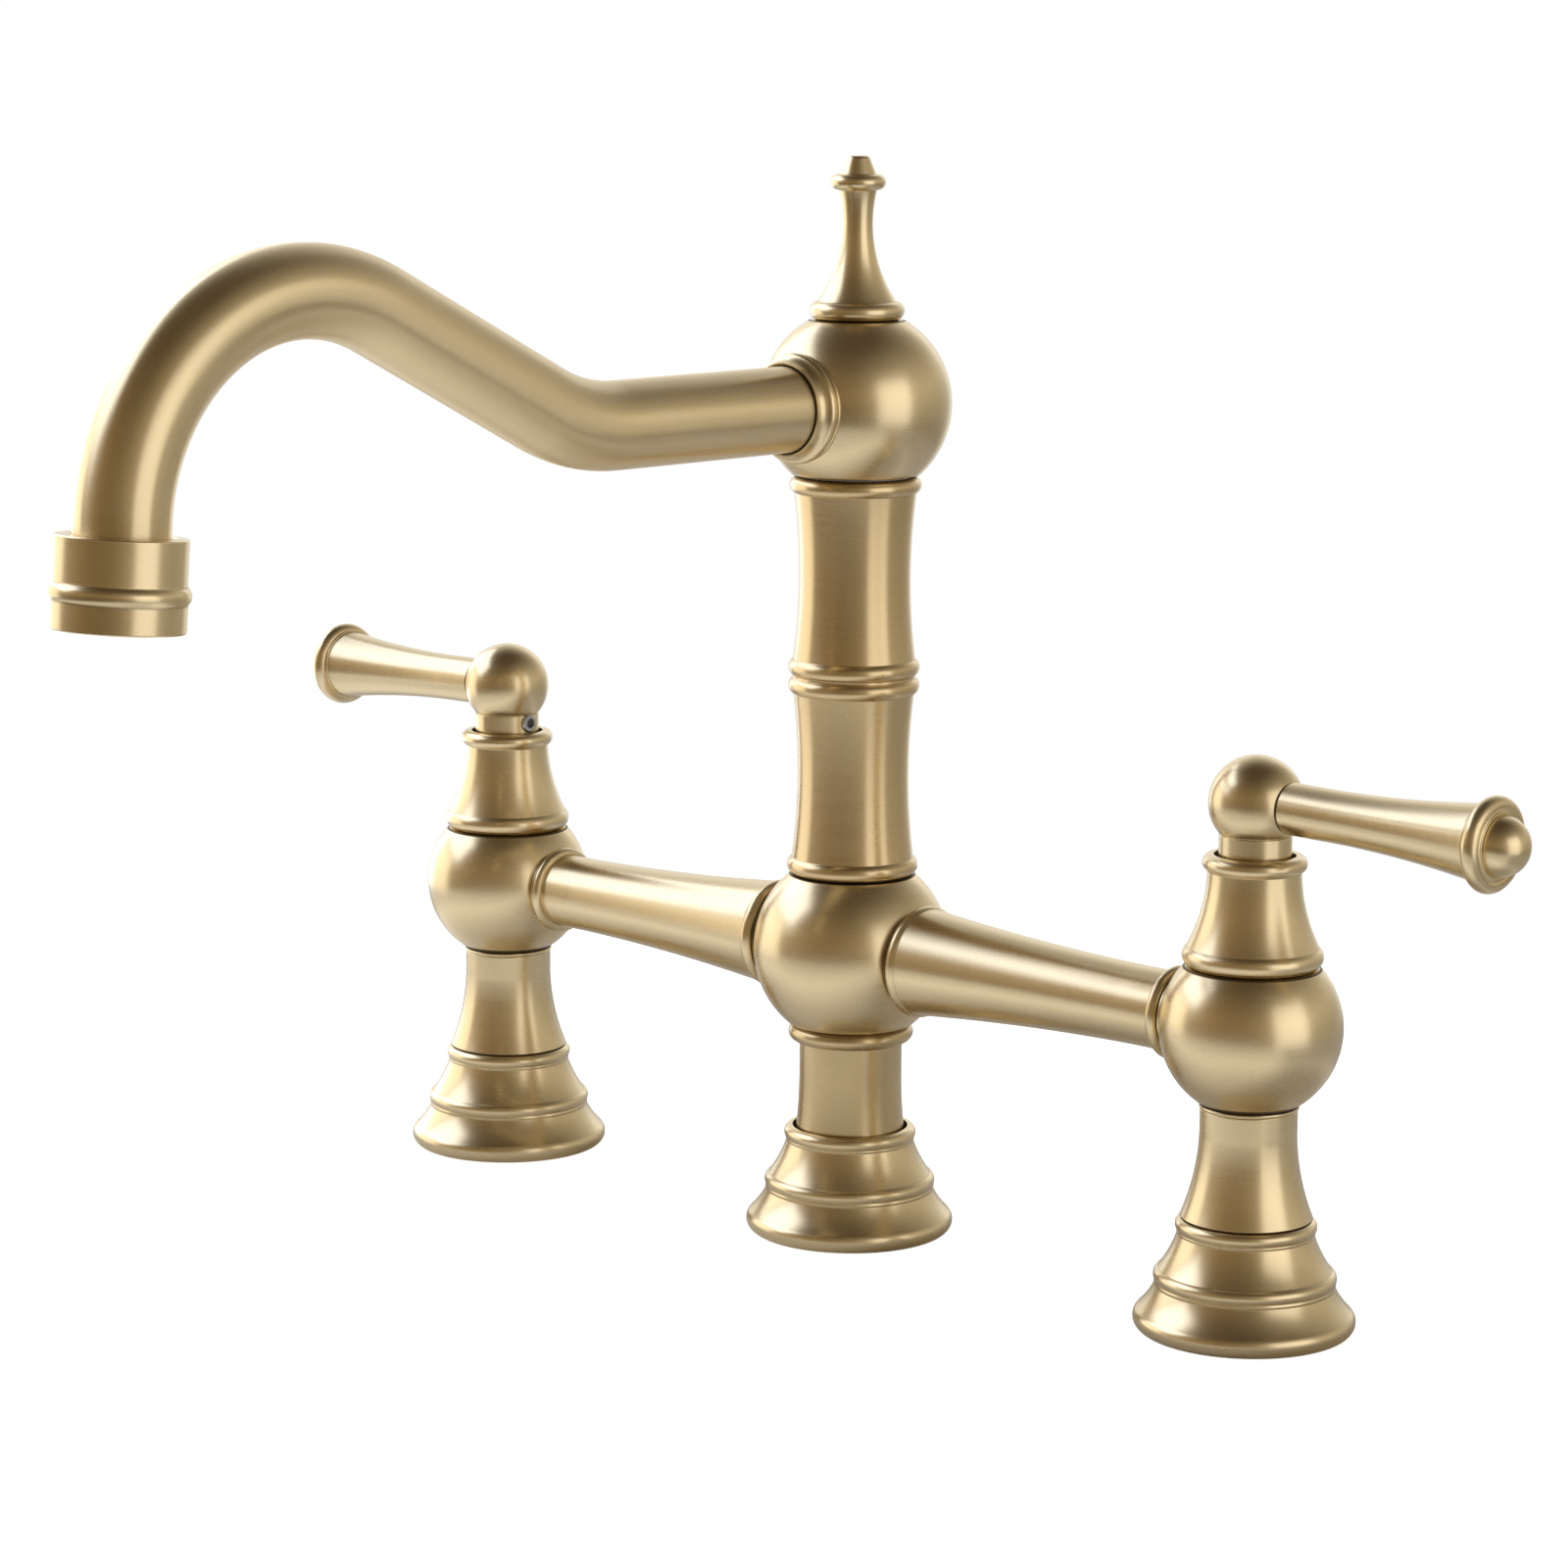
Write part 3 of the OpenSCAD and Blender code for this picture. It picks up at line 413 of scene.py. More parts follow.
def mesh_object(name: str, corners: list[Vector], faces: list[tuple[int, ...]],
                normals: list[Vector], edges: list[float], place: Matrix) -> bpy.types.Object:
    """Make a smooth mesh object with exact normals and an edge mask.

    Args:
        name: Name of the piece.
        corners: Vertices in metres, in the piece's own frame.
        faces: Vertex numbers of each face, counter-clockwise from outside.
        normals: Normal of each vertex.
        edges: Edge mask of each vertex: EDGE, FLAT_EDGE, ROOT or JOINT.
        place: The piece's frame in the faucet's frame.

    Returns:
        The new object, linked to the scene.
    """
    mesh = bpy.data.meshes.new(name)
    mesh.from_pydata([tuple(corner) for corner in corners], [], faces)
    mesh.validate()
    mesh.shade_smooth()
    mask = mesh.attributes.new(EDGE_MASK, "FLOAT", "POINT")
    mask.data.foreach_set("value", edges)
    mesh.normals_split_custom_set_from_vertices([tuple(normal.normalized()) for normal in normals])
    mesh.update()
    piece = placed(name, mesh)
    piece.matrix_world = place
    return piece


@dataclass(frozen=True)
class Pocket:
    """A round pocket sunk sideways into a turned piece, in which a screw stands."""

    side: int
    height: float
    radius: float
    floor: float

    def sink(self, x: float, y: float, z: float) -> Vector:
        """Move a point of the piece's wall to the pocket's floor where it lies in the pocket.

        Args:
            x: The point's place along the screw's axis.
            y: Its place across the axis.
            z: Its height.

        Returns:
            The point's place.
        """
        inside = x * self.side > 0 and math.hypot(y, z - self.height) < self.radius
        return Vector((self.side * self.floor if inside else x, y, z))


def turned(name: str, outline: Outline, place: Matrix, soft: float = 0.16,
           steps: int = TURN_STEPS, pocket: Pocket | None = None) -> bpy.types.Object:
    """Turn an outline into a piece, as on a lathe.

    Args:
        name: Name of the piece.
        outline: Its half outline.
        place: Frame whose Z axis is the piece's axis.
        soft: Rounding of its corners, in millimetres.
        steps: Number of facets round the axis.
        pocket: A screw's pocket in its wall, if it has one.

    Returns:
        The new object.
    """
    rings = stations_of(outline, soft)
    if outline.closed:
        rings.pop()
    corners, normals, edges, starts = [], [], [], []
    for ring in rings:
        count = 1 if ring.radius < TINY else steps
        starts.append((len(corners), count))
        for step in range(count):
            angle = 2 * math.pi * step / steps
            x, y = math.cos(angle), math.sin(angle)
            spot = Vector((ring.radius * x, ring.radius * y, ring.height))
            corners.append((pocket.sink(*spot) if pocket else spot) * MM)
            normals.append(Vector((ring.facing[0] * x, ring.facing[0] * y, ring.facing[1])))
            edges.append(ring.edge)
    faces: list[tuple[int, ...]] = []
    if outline.closed:
        starts.append(starts[0])
    for (low, low_count), (high, high_count) in zip(starts, starts[1:]):
        if low_count == high_count == 1:
            continue
        for step in range(steps):
            after = (step + 1) % steps
            if low_count == 1:
                faces.append((low, high + after, high + step))
            elif high_count == 1:
                faces.append((low + step, low + after, high))
            else:
                faces.append((low + step, low + after, high + after, high + step))
    return mesh_object(name, corners, faces, normals, edges, place)


def upright(x: float = 0.0) -> Matrix:
    """Return the frame of a column that stands at x millimetres."""
    return Matrix.Translation((x * MM, 0.0, 0.0))


def aimed(origin: tuple[float, float, float], along: tuple[float, float, float]) -> Matrix:
    """Make a frame whose Z axis points a given way.

    Args:
        origin: Where the frame's origin lies, in millimetres.
        along: Direction of its Z axis.

    Returns:
        The frame.
    """
    turn = Vector((0.0, 0.0, 1.0)).rotation_difference(Vector(along).normalized())
    return Matrix.Translation(Vector(origin) * MM) @ turn.to_matrix().to_4x4()


def cap_height(ball_radius: float, radius: float) -> float:
    """Return how far from a ball's centre a flat of this radius lies."""
    return math.sqrt(ball_radius ** 2 - radius ** 2)


def seated_ball(low: float, seat: float, centre: float, radius: float, high: float,
                met_below: int = 0) -> Outline:
    """Draw a ball with a flat below and a flat above, where other pieces meet it.

    Args:
        low: Height of the lower flat.
        seat: Radius of the lower flat.
        centre: Height of the ball's centre.
        radius: Radius of the ball.
        high: Height of the upper flat.
        met_below: Number of the ball's first points that face another piece closely.

    Returns:
        The half outline.
    """
    shape = Outline(0.0, low).to(seat, low).joint()
    return shape.ball(centre, radius, high, met_below=met_below).joint().to(0.0, high)


class NodeBuilder:
    """Short ways to place and join nodes in one node tree."""

    def __init__(self, tree: bpy.types.NodeTree) -> None:
        """Keep the tree to work in."""
        self.tree = tree

    def add(self, kind: str, inputs: dict[str | int, Feed] | None = None,
            **settings: object) -> bpy.types.Node:
        """Add a node, set its properties and feed its inputs.

        Args:
            kind: Blender's name of the node type.
            inputs: For each input, by name or number, a socket, a number, a vector or a colour.
            settings: Properties of the node and their values.

        Returns:
            The new node.
        """
        node = self.tree.nodes.new(kind)
        for key, value in settings.items():
            setattr(node, key, value)
        self.feed(node, inputs or {})
        return node

    def feed(self, node: bpy.types.Node, inputs: dict[str | int, Feed]) -> None:
        """Link sockets to a node's inputs, or set the inputs to plain values.

        Args:
            node: The node.
            inputs: What each input takes, by its name or number.
        """
        for key, value in inputs.items():
            if isinstance(value, Socket):
                self.tree.links.new(value, node.inputs[key])
            else:
                plain = (*value, 1.0) if isinstance(value, tuple) else value
                node.inputs[key].default_value = plain

    def effect(self, group: bpy.types.NodeTree, inputs: dict[str | int, Feed]) -> dict[str, Socket]:
        """Add a shared effect and return its outputs by name."""
        return dict(self.add("ShaderNodeGroup", inputs, node_tree=group).outputs.items())

    def math(self, operation: str, *values: Feed, clamp: bool = False) -> Socket:
        """Add a Math node and return its result."""
        inputs = dict(enumerate(values))
        return self.add("ShaderNodeMath", inputs, operation=operation, use_clamp=clamp).outputs[0]

    def plus(self, first: Feed, second: Feed) -> Socket:
        """Return the sum of two values."""
        return self.math("ADD", first, second)

    def minus(self, first: Feed, second: Feed) -> Socket:
        """Return the difference of two values."""
        return self.math("SUBTRACT", first, second)

    def times(self, first: Feed, second: Feed) -> Socket:
        """Return the product of two values."""
        return self.math("MULTIPLY", first, second)

    def most(self, first: Feed, second: Feed) -> Socket:
        """Return the greater of two values."""
        return self.math("MAXIMUM", first, second)

    def parts(self, vector: Socket) -> list[Socket]:
        """Return the X, Y and Z of a vector."""
        return list(self.add("ShaderNodeSeparateXYZ", {0: vector}).outputs)

    def vector(self, *values: Feed) -> Socket:
        """Return a vector made of X, Y and Z."""
        return self.add("ShaderNodeCombineXYZ", dict(enumerate(values))).outputs[0]

    def coordinates(self, kind: str = "Object") -> Socket:
        """Return texture coordinates of one kind."""
        return self.add("ShaderNodeTexCoord").outputs[kind]

    def noise(self, vector: Socket, scale: Feed, detail: float = 3.0, rough: float = 0.6) -> Socket:
        """Add a noise texture.

        Args:
            vector: Coordinates.
            scale: The noise's scale.
            detail: Number of octaves.
            rough: Roughness of the octaves.

        Returns:
            The noise's value.
        """
        inputs = {"Vector": vector, "Scale": scale, "Detail": detail, "Roughness": rough}
        return self.add("ShaderNodeTexNoise", inputs).outputs["Fac"]

    def span(self, value: Socket, low: float, high: float, to_low: float = 0.0,
             to_high: float = 1.0) -> Socket:
        """Map a span of values onto another one, and clamp it there.

        Args:
            value: The value to map.
            low: Start of the span.
            high: End of the span.
            to_low: What the start becomes.
            to_high: What the end becomes.

        Returns:
            The mapped value.
        """
        ends = {"Value": value, "From Min": low, "From Max": high,
                "To Min": to_low, "To Max": to_high}
        return self.add("ShaderNodeMapRange", ends, clamp=True).outputs["Result"]

    def blend(self, amount: Feed, first: Feed, second: Feed) -> Socket:
        """Mix two colours by the share of the second one."""
        return self.add("ShaderNodeMix", {0: amount, 6: first, 7: second}, data_type="RGBA",
                        blend_type="MIX").outputs[2]

    def mirrored(self) -> tuple[Socket, Socket]:
        """Tell apart what looks at a surface.

        Returns:
            Masks of the camera's own rays and of rays that come by way of shiny or clear things.
        """
        rays = self.add("ShaderNodeLightPath").outputs
        return rays["Is Camera Ray"], self.most(rays["Is Glossy Ray"], rays["Is Transmission Ray"])


@dataclass(frozen=True)
class GroupSocket:
    """One named input or output of a shader node group."""

    name: str
    kind: str = "NodeSocketFloat"
    value: float | tuple[float, float, float, float] | None = None


COORDINATES = GroupSocket("Coordinates", "NodeSocketVector")
BRASS = GroupSocket("Colour", "NodeSocketColor", (0.7, 0.55, 0.33, 1.0))
COLOUR_AND_ROUGHNESS = [GroupSocket("Colour", "NodeSocketColor"), GroupSocket("Roughness")]


def new_group(name: str, inputs: list[GroupSocket], outputs: list[GroupSocket]) -> \
        tuple[NodeBuilder, dict[str, Socket], bpy.types.Node]:
    """Start a shader node group.

    Args:
        name: Name of the group.
        inputs: Its named inputs.
        outputs: Its named outputs.

    Returns:
        A builder for the group, its inputs' sockets by name, and its output node.
    """
    tree = bpy.data.node_groups.new(name, "ShaderNodeTree")
    for direction, sockets in (("INPUT", inputs), ("OUTPUT", outputs)):
        for item in sockets:
            socket = tree.interface.new_socket(item.name, in_out=direction, socket_type=item.kind)
            if item.value is not None:
                socket.default_value = item.value
    build = NodeBuilder(tree)
    return build, dict(build.add("NodeGroupInput").outputs.items()), build.add("NodeGroupOutput")


class SharedEffects:
    """The node groups that more than one finish uses."""

    # How coarse the broad lines are, octaves of the lines, and how space is squeezed along them.
    BROAD = 0.3
    LINE_DETAIL = 2.0
    STREAK = 0.022
    SQUEEZE = 0.0002

    def __init__(self) -> None:
        """Build every group once."""
        self.turned_lines = self.build_lines("turned_lines", self.turned_chart, 0.55)
        self.drawn_lines = self.build_lines("drawn_lines", self.drawn_chart, 0.7)
        self.satin_tone = self.build_satin_tone()
        self.edge_wear = self.build_edge_wear()
        self.speckle = self.build_speckle()

    def turned_chart(self, build: NodeBuilder, where: Socket) -> Socket:
        """Stretch space round the Z axis of a turned piece.

        Args:
            build: Builder of the group.
            where: The piece's own coordinates.

        Returns:
            The stretched coordinates.
        """
        x, y, z = build.parts(where)
        radius = build.math("SQRT", build.plus(build.times(x, x), build.times(y, y)))
        round_way = build.times(build.plus(x, y), self.STREAK)
        across = build.times(build.minus(x, y), self.STREAK)
        return build.vector(build.plus(radius, round_way), across, z)

    def drawn_chart(self, build: NodeBuilder, where: Socket) -> Socket:
        """Stretch space round a bent tube, from its own girth and length.

        Args:
            build: Builder of the group.
            where: Girth and length.

        Returns:
            The stretched coordinates.
        """
        girth, length, _ = build.parts(where)
        angle = build.times(girth, 2 * math.pi)
        return build.vector(build.times(build.math("COSINE", angle), self.SQUEEZE),
                            build.times(build.math("SINE", angle), self.SQUEEZE), length)

    def build_lines(self, name: str, chart: Callable[[NodeBuilder, Socket], Socket],
                    rough: float) -> bpy.types.NodeTree:
        """Build the fine lines that a brush leaves round a piece.

        Args:
            name: Name of the group.
            chart: How it stretches space.
            rough: Roughness of the fine lines' octaves.

        Returns:
            The group. Its outputs are heights from 0 to 1.
        """
        build, enter, leave = new_group(name, [COORDINATES, GroupSocket("Fineness", value=2600.0)],
                                        [GroupSocket("Lines"), GroupSocket("Broad lines")])
        where = chart(build, enter["Coordinates"])
        broad = build.times(enter["Fineness"], self.BROAD)
        build.feed(leave, {"Lines": build.noise(where, enter["Fineness"], self.LINE_DETAIL, rough),
                           "Broad lines": build.noise(where, broad, self.LINE_DETAIL, 0.5)})
        return build.tree

    @staticmethod
    def build_satin_tone() -> bpy.types.NodeTree:
        """Build the slow changes of tone and gloss of a hand-brushed metal.

        Returns:
            The group, with a colour and a roughness output.
        """
        build, enter, leave = new_group(
            "satin_tone",
            [COORDINATES, BRASS, GroupSocket("Lines", value=0.5),
             GroupSocket("Broad lines", value=0.5), GroupSocket("Gloss low", value=0.24),
             GroupSocket("Gloss high", value=0.34), GroupSocket("Tone change", value=0.06)],
            COLOUR_AND_ROUGHNESS)
        # Clouds, patches and the two kinds of lines, each with its weight.
        clouds, patches = (build.noise(enter["Coordinates"], scale) for scale in (90.0, 420.0))
        level = build.times(clouds, 0.35)
        for source, weight in ((patches, 0.1), (enter["Lines"], 0.3), (enter["Broad lines"], 0.25)):
            level = build.plus(level, build.times(source, weight))
        share = build.span(level, 0.36, 0.64)
        gloss_range = build.minus(enter["Gloss high"], enter["Gloss low"])
        swing = build.times(build.minus(share, 0.5), enter["Tone change"])
        toned = build.add("ShaderNodeHueSaturation",
                          {"Color": enter["Colour"], "Value": build.plus(1.0, swing),
                           "Saturation": build.minus(1.0, build.times(swing, 0.7))})
        rough = build.plus(enter["Gloss low"], build.times(share, gloss_range))
        build.feed(leave, {"Colour": toned.outputs["Color"], "Roughness": rough})
        return build.tree

    @staticmethod
    def build_edge_wear() -> bpy.types.NodeTree:
        """Build bright rubbed edges, and dark painted shade in joints and inner corners, from the
        turned meshes' edge mask.

        Returns:
            The group, with a colour and a roughness output.
        """
        build, enter, leave = new_group(
            "edge_wear",
            [GroupSocket("Edge", value=0.5), BRASS,
             GroupSocket("Rubbed colour", "NodeSocketColor", (0.86, 0.72, 0.47, 1.0)),
             GroupSocket("Seam colour", "NodeSocketColor", (0.16, 0.1, 0.045, 1.0)),
             GroupSocket("Roughness", value=0.3), GroupSocket("Wear", value=0.5),
             GroupSocket("Dirt", value=0.6), GroupSocket("Patches", value=0.5)],
            COLOUR_AND_ROUGHNESS)
        uneven = build.span(enter["Patches"], 0.35, 0.6, 0.35, 1.0)
        worn = build.times(uneven, enter["Wear"])
        rubbed = build.times(build.span(enter["Edge"], 0.55, 1.0), worn)
        # Painted shade: full in joints and partial in inner corners, scaled by the group's shade
        # strength input.
        seam = build.times(build.span(enter["Edge"], 0.45, 0.0), enter["Dirt"])
        shone = build.blend(rubbed, enter["Colour"], enter["Rubbed colour"])
        polished = build.minus(enter["Roughness"], build.times(rubbed, 0.06))
        rough = build.math("ADD", polished, build.times(seam, 0.2), clamp=True)
        build.feed(leave, {"Colour": build.blend(seam, shone, enter["Seam colour"]),
                           "Roughness": rough})
        return build.tree

    @staticmethod
    def build_speckle() -> bpy.types.NodeTree:
        """Build scattered tiny pits, as on a beaded casting or on rubber.

        Returns:
            The group. Its Pits output is 1 in a pit and 0 beside it.
        """
        build, enter, leave = new_group(
            "speckle", [COORDINATES, GroupSocket("Scale", value=1400.0),
                        GroupSocket("Threshold", value=0.7)], [GroupSocket("Pits")])
        grit = build.noise(enter["Coordinates"], enter["Scale"], 1.0, 0.5)
        places = build.noise(enter["Coordinates"], 160.0, 2.0, 0.5)
        both = build.plus(build.times(grit, 0.8), build.times(places, 0.2))
        depth = build.math("SUBTRACT", both, enter["Threshold"], clamp=True)
        build.feed(leave, {"Pits": build.math("MULTIPLY", depth, 16.0, clamp=True)})
        return build.tree


def plain_material(name: str) -> tuple[bpy.types.Material, NodeBuilder]:
    """Start a material with no nodes.

    Args:
        name: Name of the material.

    Returns:
        The material and a builder for its nodes.
    """
    material = bpy.data.materials.new(name)
    material.use_nodes = True
    material.node_tree.nodes.clear()
    return material, NodeBuilder(material.node_tree)


@dataclass(frozen=True)
class Finish:
    """What every finish has: a colour, a span of gloss, a slow change of tone, and its bump."""

    name: str
    colour: Colour
    gloss_low: float
    gloss_high: float
    tone_change: float = 0.12
    bump_strength: float = 0.5
    bump_depth: float = 0.04
    fineness: float = 1800.0

    def toned(self, build: NodeBuilder, effects: SharedEffects, where: Socket,
              lines: dict[str, Socket] | None = None) -> dict[str, Socket]:
        """Lay the finish's tone and gloss over the shared pattern.

        Args:
            build: Builder of the material.
            effects: The shared node groups.
            where: Coordinates of the pattern.
            lines: The brushed lines, if the finish has them.

        Returns:
            The colour and the roughness.
        """
        return build.effect(effects.satin_tone, {
            "Coordinates": where, "Colour": self.colour, "Gloss low": self.gloss_low,
            "Gloss high": self.gloss_high, "Tone change": self.tone_change, **(lines or {})})

    def surface(self, build: NodeBuilder, skin: dict[str, Socket], height: Socket,
                others: dict[str, Feed], sunk: bool = False) -> None:
        """Join the colour, the roughness and the bump to the material's shader.

        Args:
            build: Builder of the material.
            skin: The colour and the roughness.
            height: Height of the bump.
            others: Further inputs of the shader, by name.
            sunk: Whether the height goes into the surface.
        """
        relief = {"Height": height, "Strength": self.bump_strength,
                  "Distance": self.bump_depth * MM}
        bump = build.add("ShaderNodeBump", relief, invert=sunk)
        shader = build.add("ShaderNodeBsdfPrincipled", {
            "Base Color": skin["Colour"], "Roughness": skin["Roughness"],
            "Normal": bump.outputs["Normal"], **others})
        build.add("ShaderNodeOutputMaterial", {"Surface": shader.outputs["BSDF"]})


@dataclass(frozen=True)
class SatinBrass(Finish):
    """Brushed, lacquered brass, with fine lines, slow tone changes, rubbed edges and painted shade
    in seams.
    """

    name: str = "satin_brass"
    colour: Colour = (0.728, 0.597, 0.362)
    gloss_low: float = 0.26
    gloss_high: float = 0.31
    tone_change: float = 0.035
    bump_strength: float = 0.22
    bump_depth: float = 0.0045
    fineness: float = 2600.0
    rubbed: Colour = (0.79, 0.675, 0.46)
    # seam is the colour of the painted shade in joints and inner corners; the strength field after
    # wear sets how much.
    seam: Colour = (0.045, 0.03, 0.016)
    grain: Grain = Grain.TURNED
    anisotropy: float = 0.3
    wear: float = 0.35
    wear_patches: float = 700.0
    dirt: float = 0.92
    pit_threshold: float = 0.66
    pit_height: float = 0.25

    def build(self, effects: SharedEffects) -> bpy.types.Material:
        """Make the material.

        Args:
            effects: The shared node groups.

        Returns:
            The finished material.
        """
        material, build = plain_material(self.name)
        where = build.coordinates()
        group, chart = effects.turned_lines, where
        shine = {"Metallic": 1.0, "Anisotropic": self.anisotropy, "Anisotropic Rotation": 0.25}
        if self.grain is Grain.DRAWN:
            group = effects.drawn_lines
            chart = build.add("ShaderNodeUVMap", uv_map=TUBE_CHART).outputs[0]
            girth = build.add("ShaderNodeTangent", direction_type="UV_MAP", uv_map=TUBE_CHART)
            shine["Tangent"] = girth.outputs[0]
        lines = build.effect(group, {"Coordinates": chart, "Fineness": self.fineness})
        edge = build.add("ShaderNodeAttribute", attribute_name=EDGE_MASK).outputs["Fac"]
        # The edge group adds rubbed edges and painted shade in joints and inner corners.
        worn = build.effect(effects.edge_wear, {
            "Edge": edge, "Patches": build.noise(where, self.wear_patches, 2.0, 0.55),
            "Rubbed colour": self.rubbed, "Seam colour": self.seam, "Wear": self.wear,
            "Dirt": self.dirt, **self.toned(build, effects, where, lines)})
        pits = build.effect(effects.speckle,
                            {"Coordinates": where, "Threshold": self.pit_threshold})
        height = build.minus(lines["Lines"], build.times(pits["Pits"], self.pit_height))
        self.surface(build, worn, height, shine)
        return material


@dataclass(frozen=True)
class MachinedMetal(Finish):
    """Plain machined metal of the inner pieces and the grub screws."""

    gloss_low: float = 0.2
    gloss_high: float = 0.36
    tone_change: float = 0.14
    bump_strength: float = 0.4
    bump_depth: float = 0.03

    def build(self, effects: SharedEffects) -> bpy.types.Material:
        """Make the material.

        Args:
            effects: The shared node groups.

        Returns:
            The finished material.
        """
        material, build = plain_material(self.name)
        where = build.coordinates()
        lines = build.effect(effects.turned_lines,
                             {"Coordinates": where, "Fineness": self.fineness})
        skin = self.toned(build, effects, where, lines)
        self.surface(build, skin, lines["Lines"], {"Metallic": 1.0})
        return material


@dataclass(frozen=True)
class MouldedStuff(Finish):
    """Rubber, ceramic or nylon, with a faint mottle and a fine moulded surface."""

    pit_scale: float = 2400.0
    pit_threshold: float = 0.52
    coat: float = 0.0

    def build(self, effects: SharedEffects) -> bpy.types.Material:
        """Make the material.

        Args:
            effects: The shared node groups.

        Returns:
            The finished material.
        """
        material, build = plain_material(self.name)
        where = build.coordinates()
        pits = build.effect(effects.speckle, {"Coordinates": where, "Scale": self.pit_scale,
                                              "Threshold": self.pit_threshold})
        skin = self.toned(build, effects, where)
        self.surface(build, skin, pits["Pits"], {"Coat Weight": self.coat}, sunk=True)
        return material


@dataclass
class Finishes:
    """Every finish of the faucet, ready to put on pieces."""

    effects: SharedEffects = field(default_factory=SharedEffects)

    def __post_init__(self) -> None:
        """Build the materials."""
        # The tube's brass is a lighter copy of the satin brass: painted light.
        self.drawn_brass = SatinBrass(
            "satin_brass_tube", (0.77, 0.63, 0.38), 0.31, 0.35, bump_strength=0.03,
            grain=Grain.DRAWN, anisotropy=0.82, pit_height=0.05).build(self.effects)
        # The post's brass is a darker copy and the riser's a darker, richer copy of the satin
        # brass: painted shade.
        self.post_brass, self.column_brass = (
            SatinBrass(name, colour, anisotropy=along, bump_strength=0.45).build(self.effects)
            for name, colour, along in (("satin_brass_post", (0.575, 0.45, 0.25), 0.5),
                                        ("satin_brass_column", (0.655, 0.51, 0.285), 0.6)))
        self.by_slot = {slot: finish.build(self.effects) for slot, finish in {
            "satin_brass": SatinBrass(),
            "raw_brass": MachinedMetal("raw_brass", (0.74, 0.6, 0.3)),
            "steel": MachinedMetal("stainless_steel", (0.5, 0.5, 0.51), 0.22, 0.4),
            "rubber": MouldedStuff("black_rubber", (0.028, 0.028, 0.03), 0.55, 0.75),
            "ceramic": MouldedStuff("lapped_ceramic", (0.82, 0.82, 0.79), 0.08, 0.2, 0.05,
                                    bump_depth=0.005, coat=0.3),
            "nylon": MouldedStuff("moulded_nylon", (0.74, 0.73, 0.68), 0.4, 0.55),
        }.items()}

    def dress_nodes(self) -> int:
        """Give every CAD node the finish of its slot.

        Returns:
            The number of nodes dressed.
        """
        slots = {row["node"]: row["material_slot"] for row in frame["record"]["subparts"]}
        for node, slot in slots.items():
            solid = frame["nodes"][node]
            for held in ([solid] if solid.type == "MESH" else solid.children_recursive):
                if held.type != "MESH":
                    continue
                if not held.material_slots:
                    held.data.materials.append(self.by_slot[slot])
                for place in held.material_slots:
                    place.material = self.by_slot[slot]
        return len(slots)

    def dress(self, piece: bpy.types.Object, body: str, node: str,
              finish: bpy.types.Material | None = None) -> None:
        """Finish a piece, let it ride on its body and let it stand for its CAD node.

        Args:
            piece: The new piece.
            body: The body that it moves with.
            node: The CAD node that it stands for.
            finish: A variant of the satin brass, if the piece has one: a darker copy (painted
                shade) or a lighter one (painted light).
        """
        piece.data.materials.append(finish or self.by_slot["satin_brass"])
        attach(piece, body)
        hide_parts(node)
        LOG.info("piece %s rides on %s", piece.name, body)

    def turn(self, node: str, body: str, outline: Outline, place: Matrix,
             finish: bpy.types.Material | None = None, **cut: object) -> None:
        """Turn an outline into the piece that stands for a CAD node, and dress it."""
        self.dress(turned(f"{node}_skin", outline, place, **cut), body, node, finish)


@dataclass
class Foot:
    """A moulded foot: rim, flare, bead, second flare and top bead, open below."""

    rim_radius: float = 21.2
    rim_height: float = 4.7
    flare_radius: float = 20.3
    bead_low: float = 9.0
    bead_radius: float = 17.45
    bead_height: float = 3.2
    top_bead_height: float = 3.0
    top_bead_radius: float = 13.5
    height: float = 22.1
    waist_radius: float = 13.0
    seal_radius: float = 17.05
    seal_height: float = 1.5
    flare_sag: float = 0.25
    waist_sag: float = 0.3
    tuck: float = 0.12
    skirt: float = 3.0

    def outline(self, bore: float) -> Outline:
        """Draw the foot.

        Args:
            bore: Radius of the opening in its top.

        Returns:
            The closed half outline.
        """
        bead_top = self.bead_low + self.bead_height
        top_low = self.height - self.top_bead_height
        shape = Outline(self.seal_radius, 0.0)
        shape.bead(0.0, self.rim_height, self.rim_radius, leave=self.flare_radius)
        shape.bow(self.bead_radius - 0.32, self.bead_low - 0.15, self.flare_sag)
        shape.to(self.bead_radius - self.tuck, self.bead_low + self.tuck)
        shape.bead(self.bead_low, bead_top, self.bead_radius, enter=self.bead_radius - 0.28,
                   leave=self.bead_radius - 0.95)
        shape.bow(self.waist_radius + 0.02, top_low - self.tuck, self.waist_sag)
        shape.to(self.waist_radius + 0.22, top_low + self.tuck)
        shape.bead(top_low, self.height, self.top_bead_radius, enter=self.waist_radius + self.tuck)
        shape.to(bore, self.height).to(bore, top_low - self.skirt)
        shape.to(self.seal_radius, self.seal_height)
        return shape.close()

    def build(self, finishes: Finishes, name: str, x: float, bore: float) -> None:
        """Make one foot.

        Args:
            finishes: The faucet's finishes.
            name: The CAD node that the foot stands for.
            x: Place of its column, in millimetres.
            bore: Radius of the opening in its top.
        """
        finishes.turn(name, "bridge", self.outline(bore), upright(x), soft=0.14)


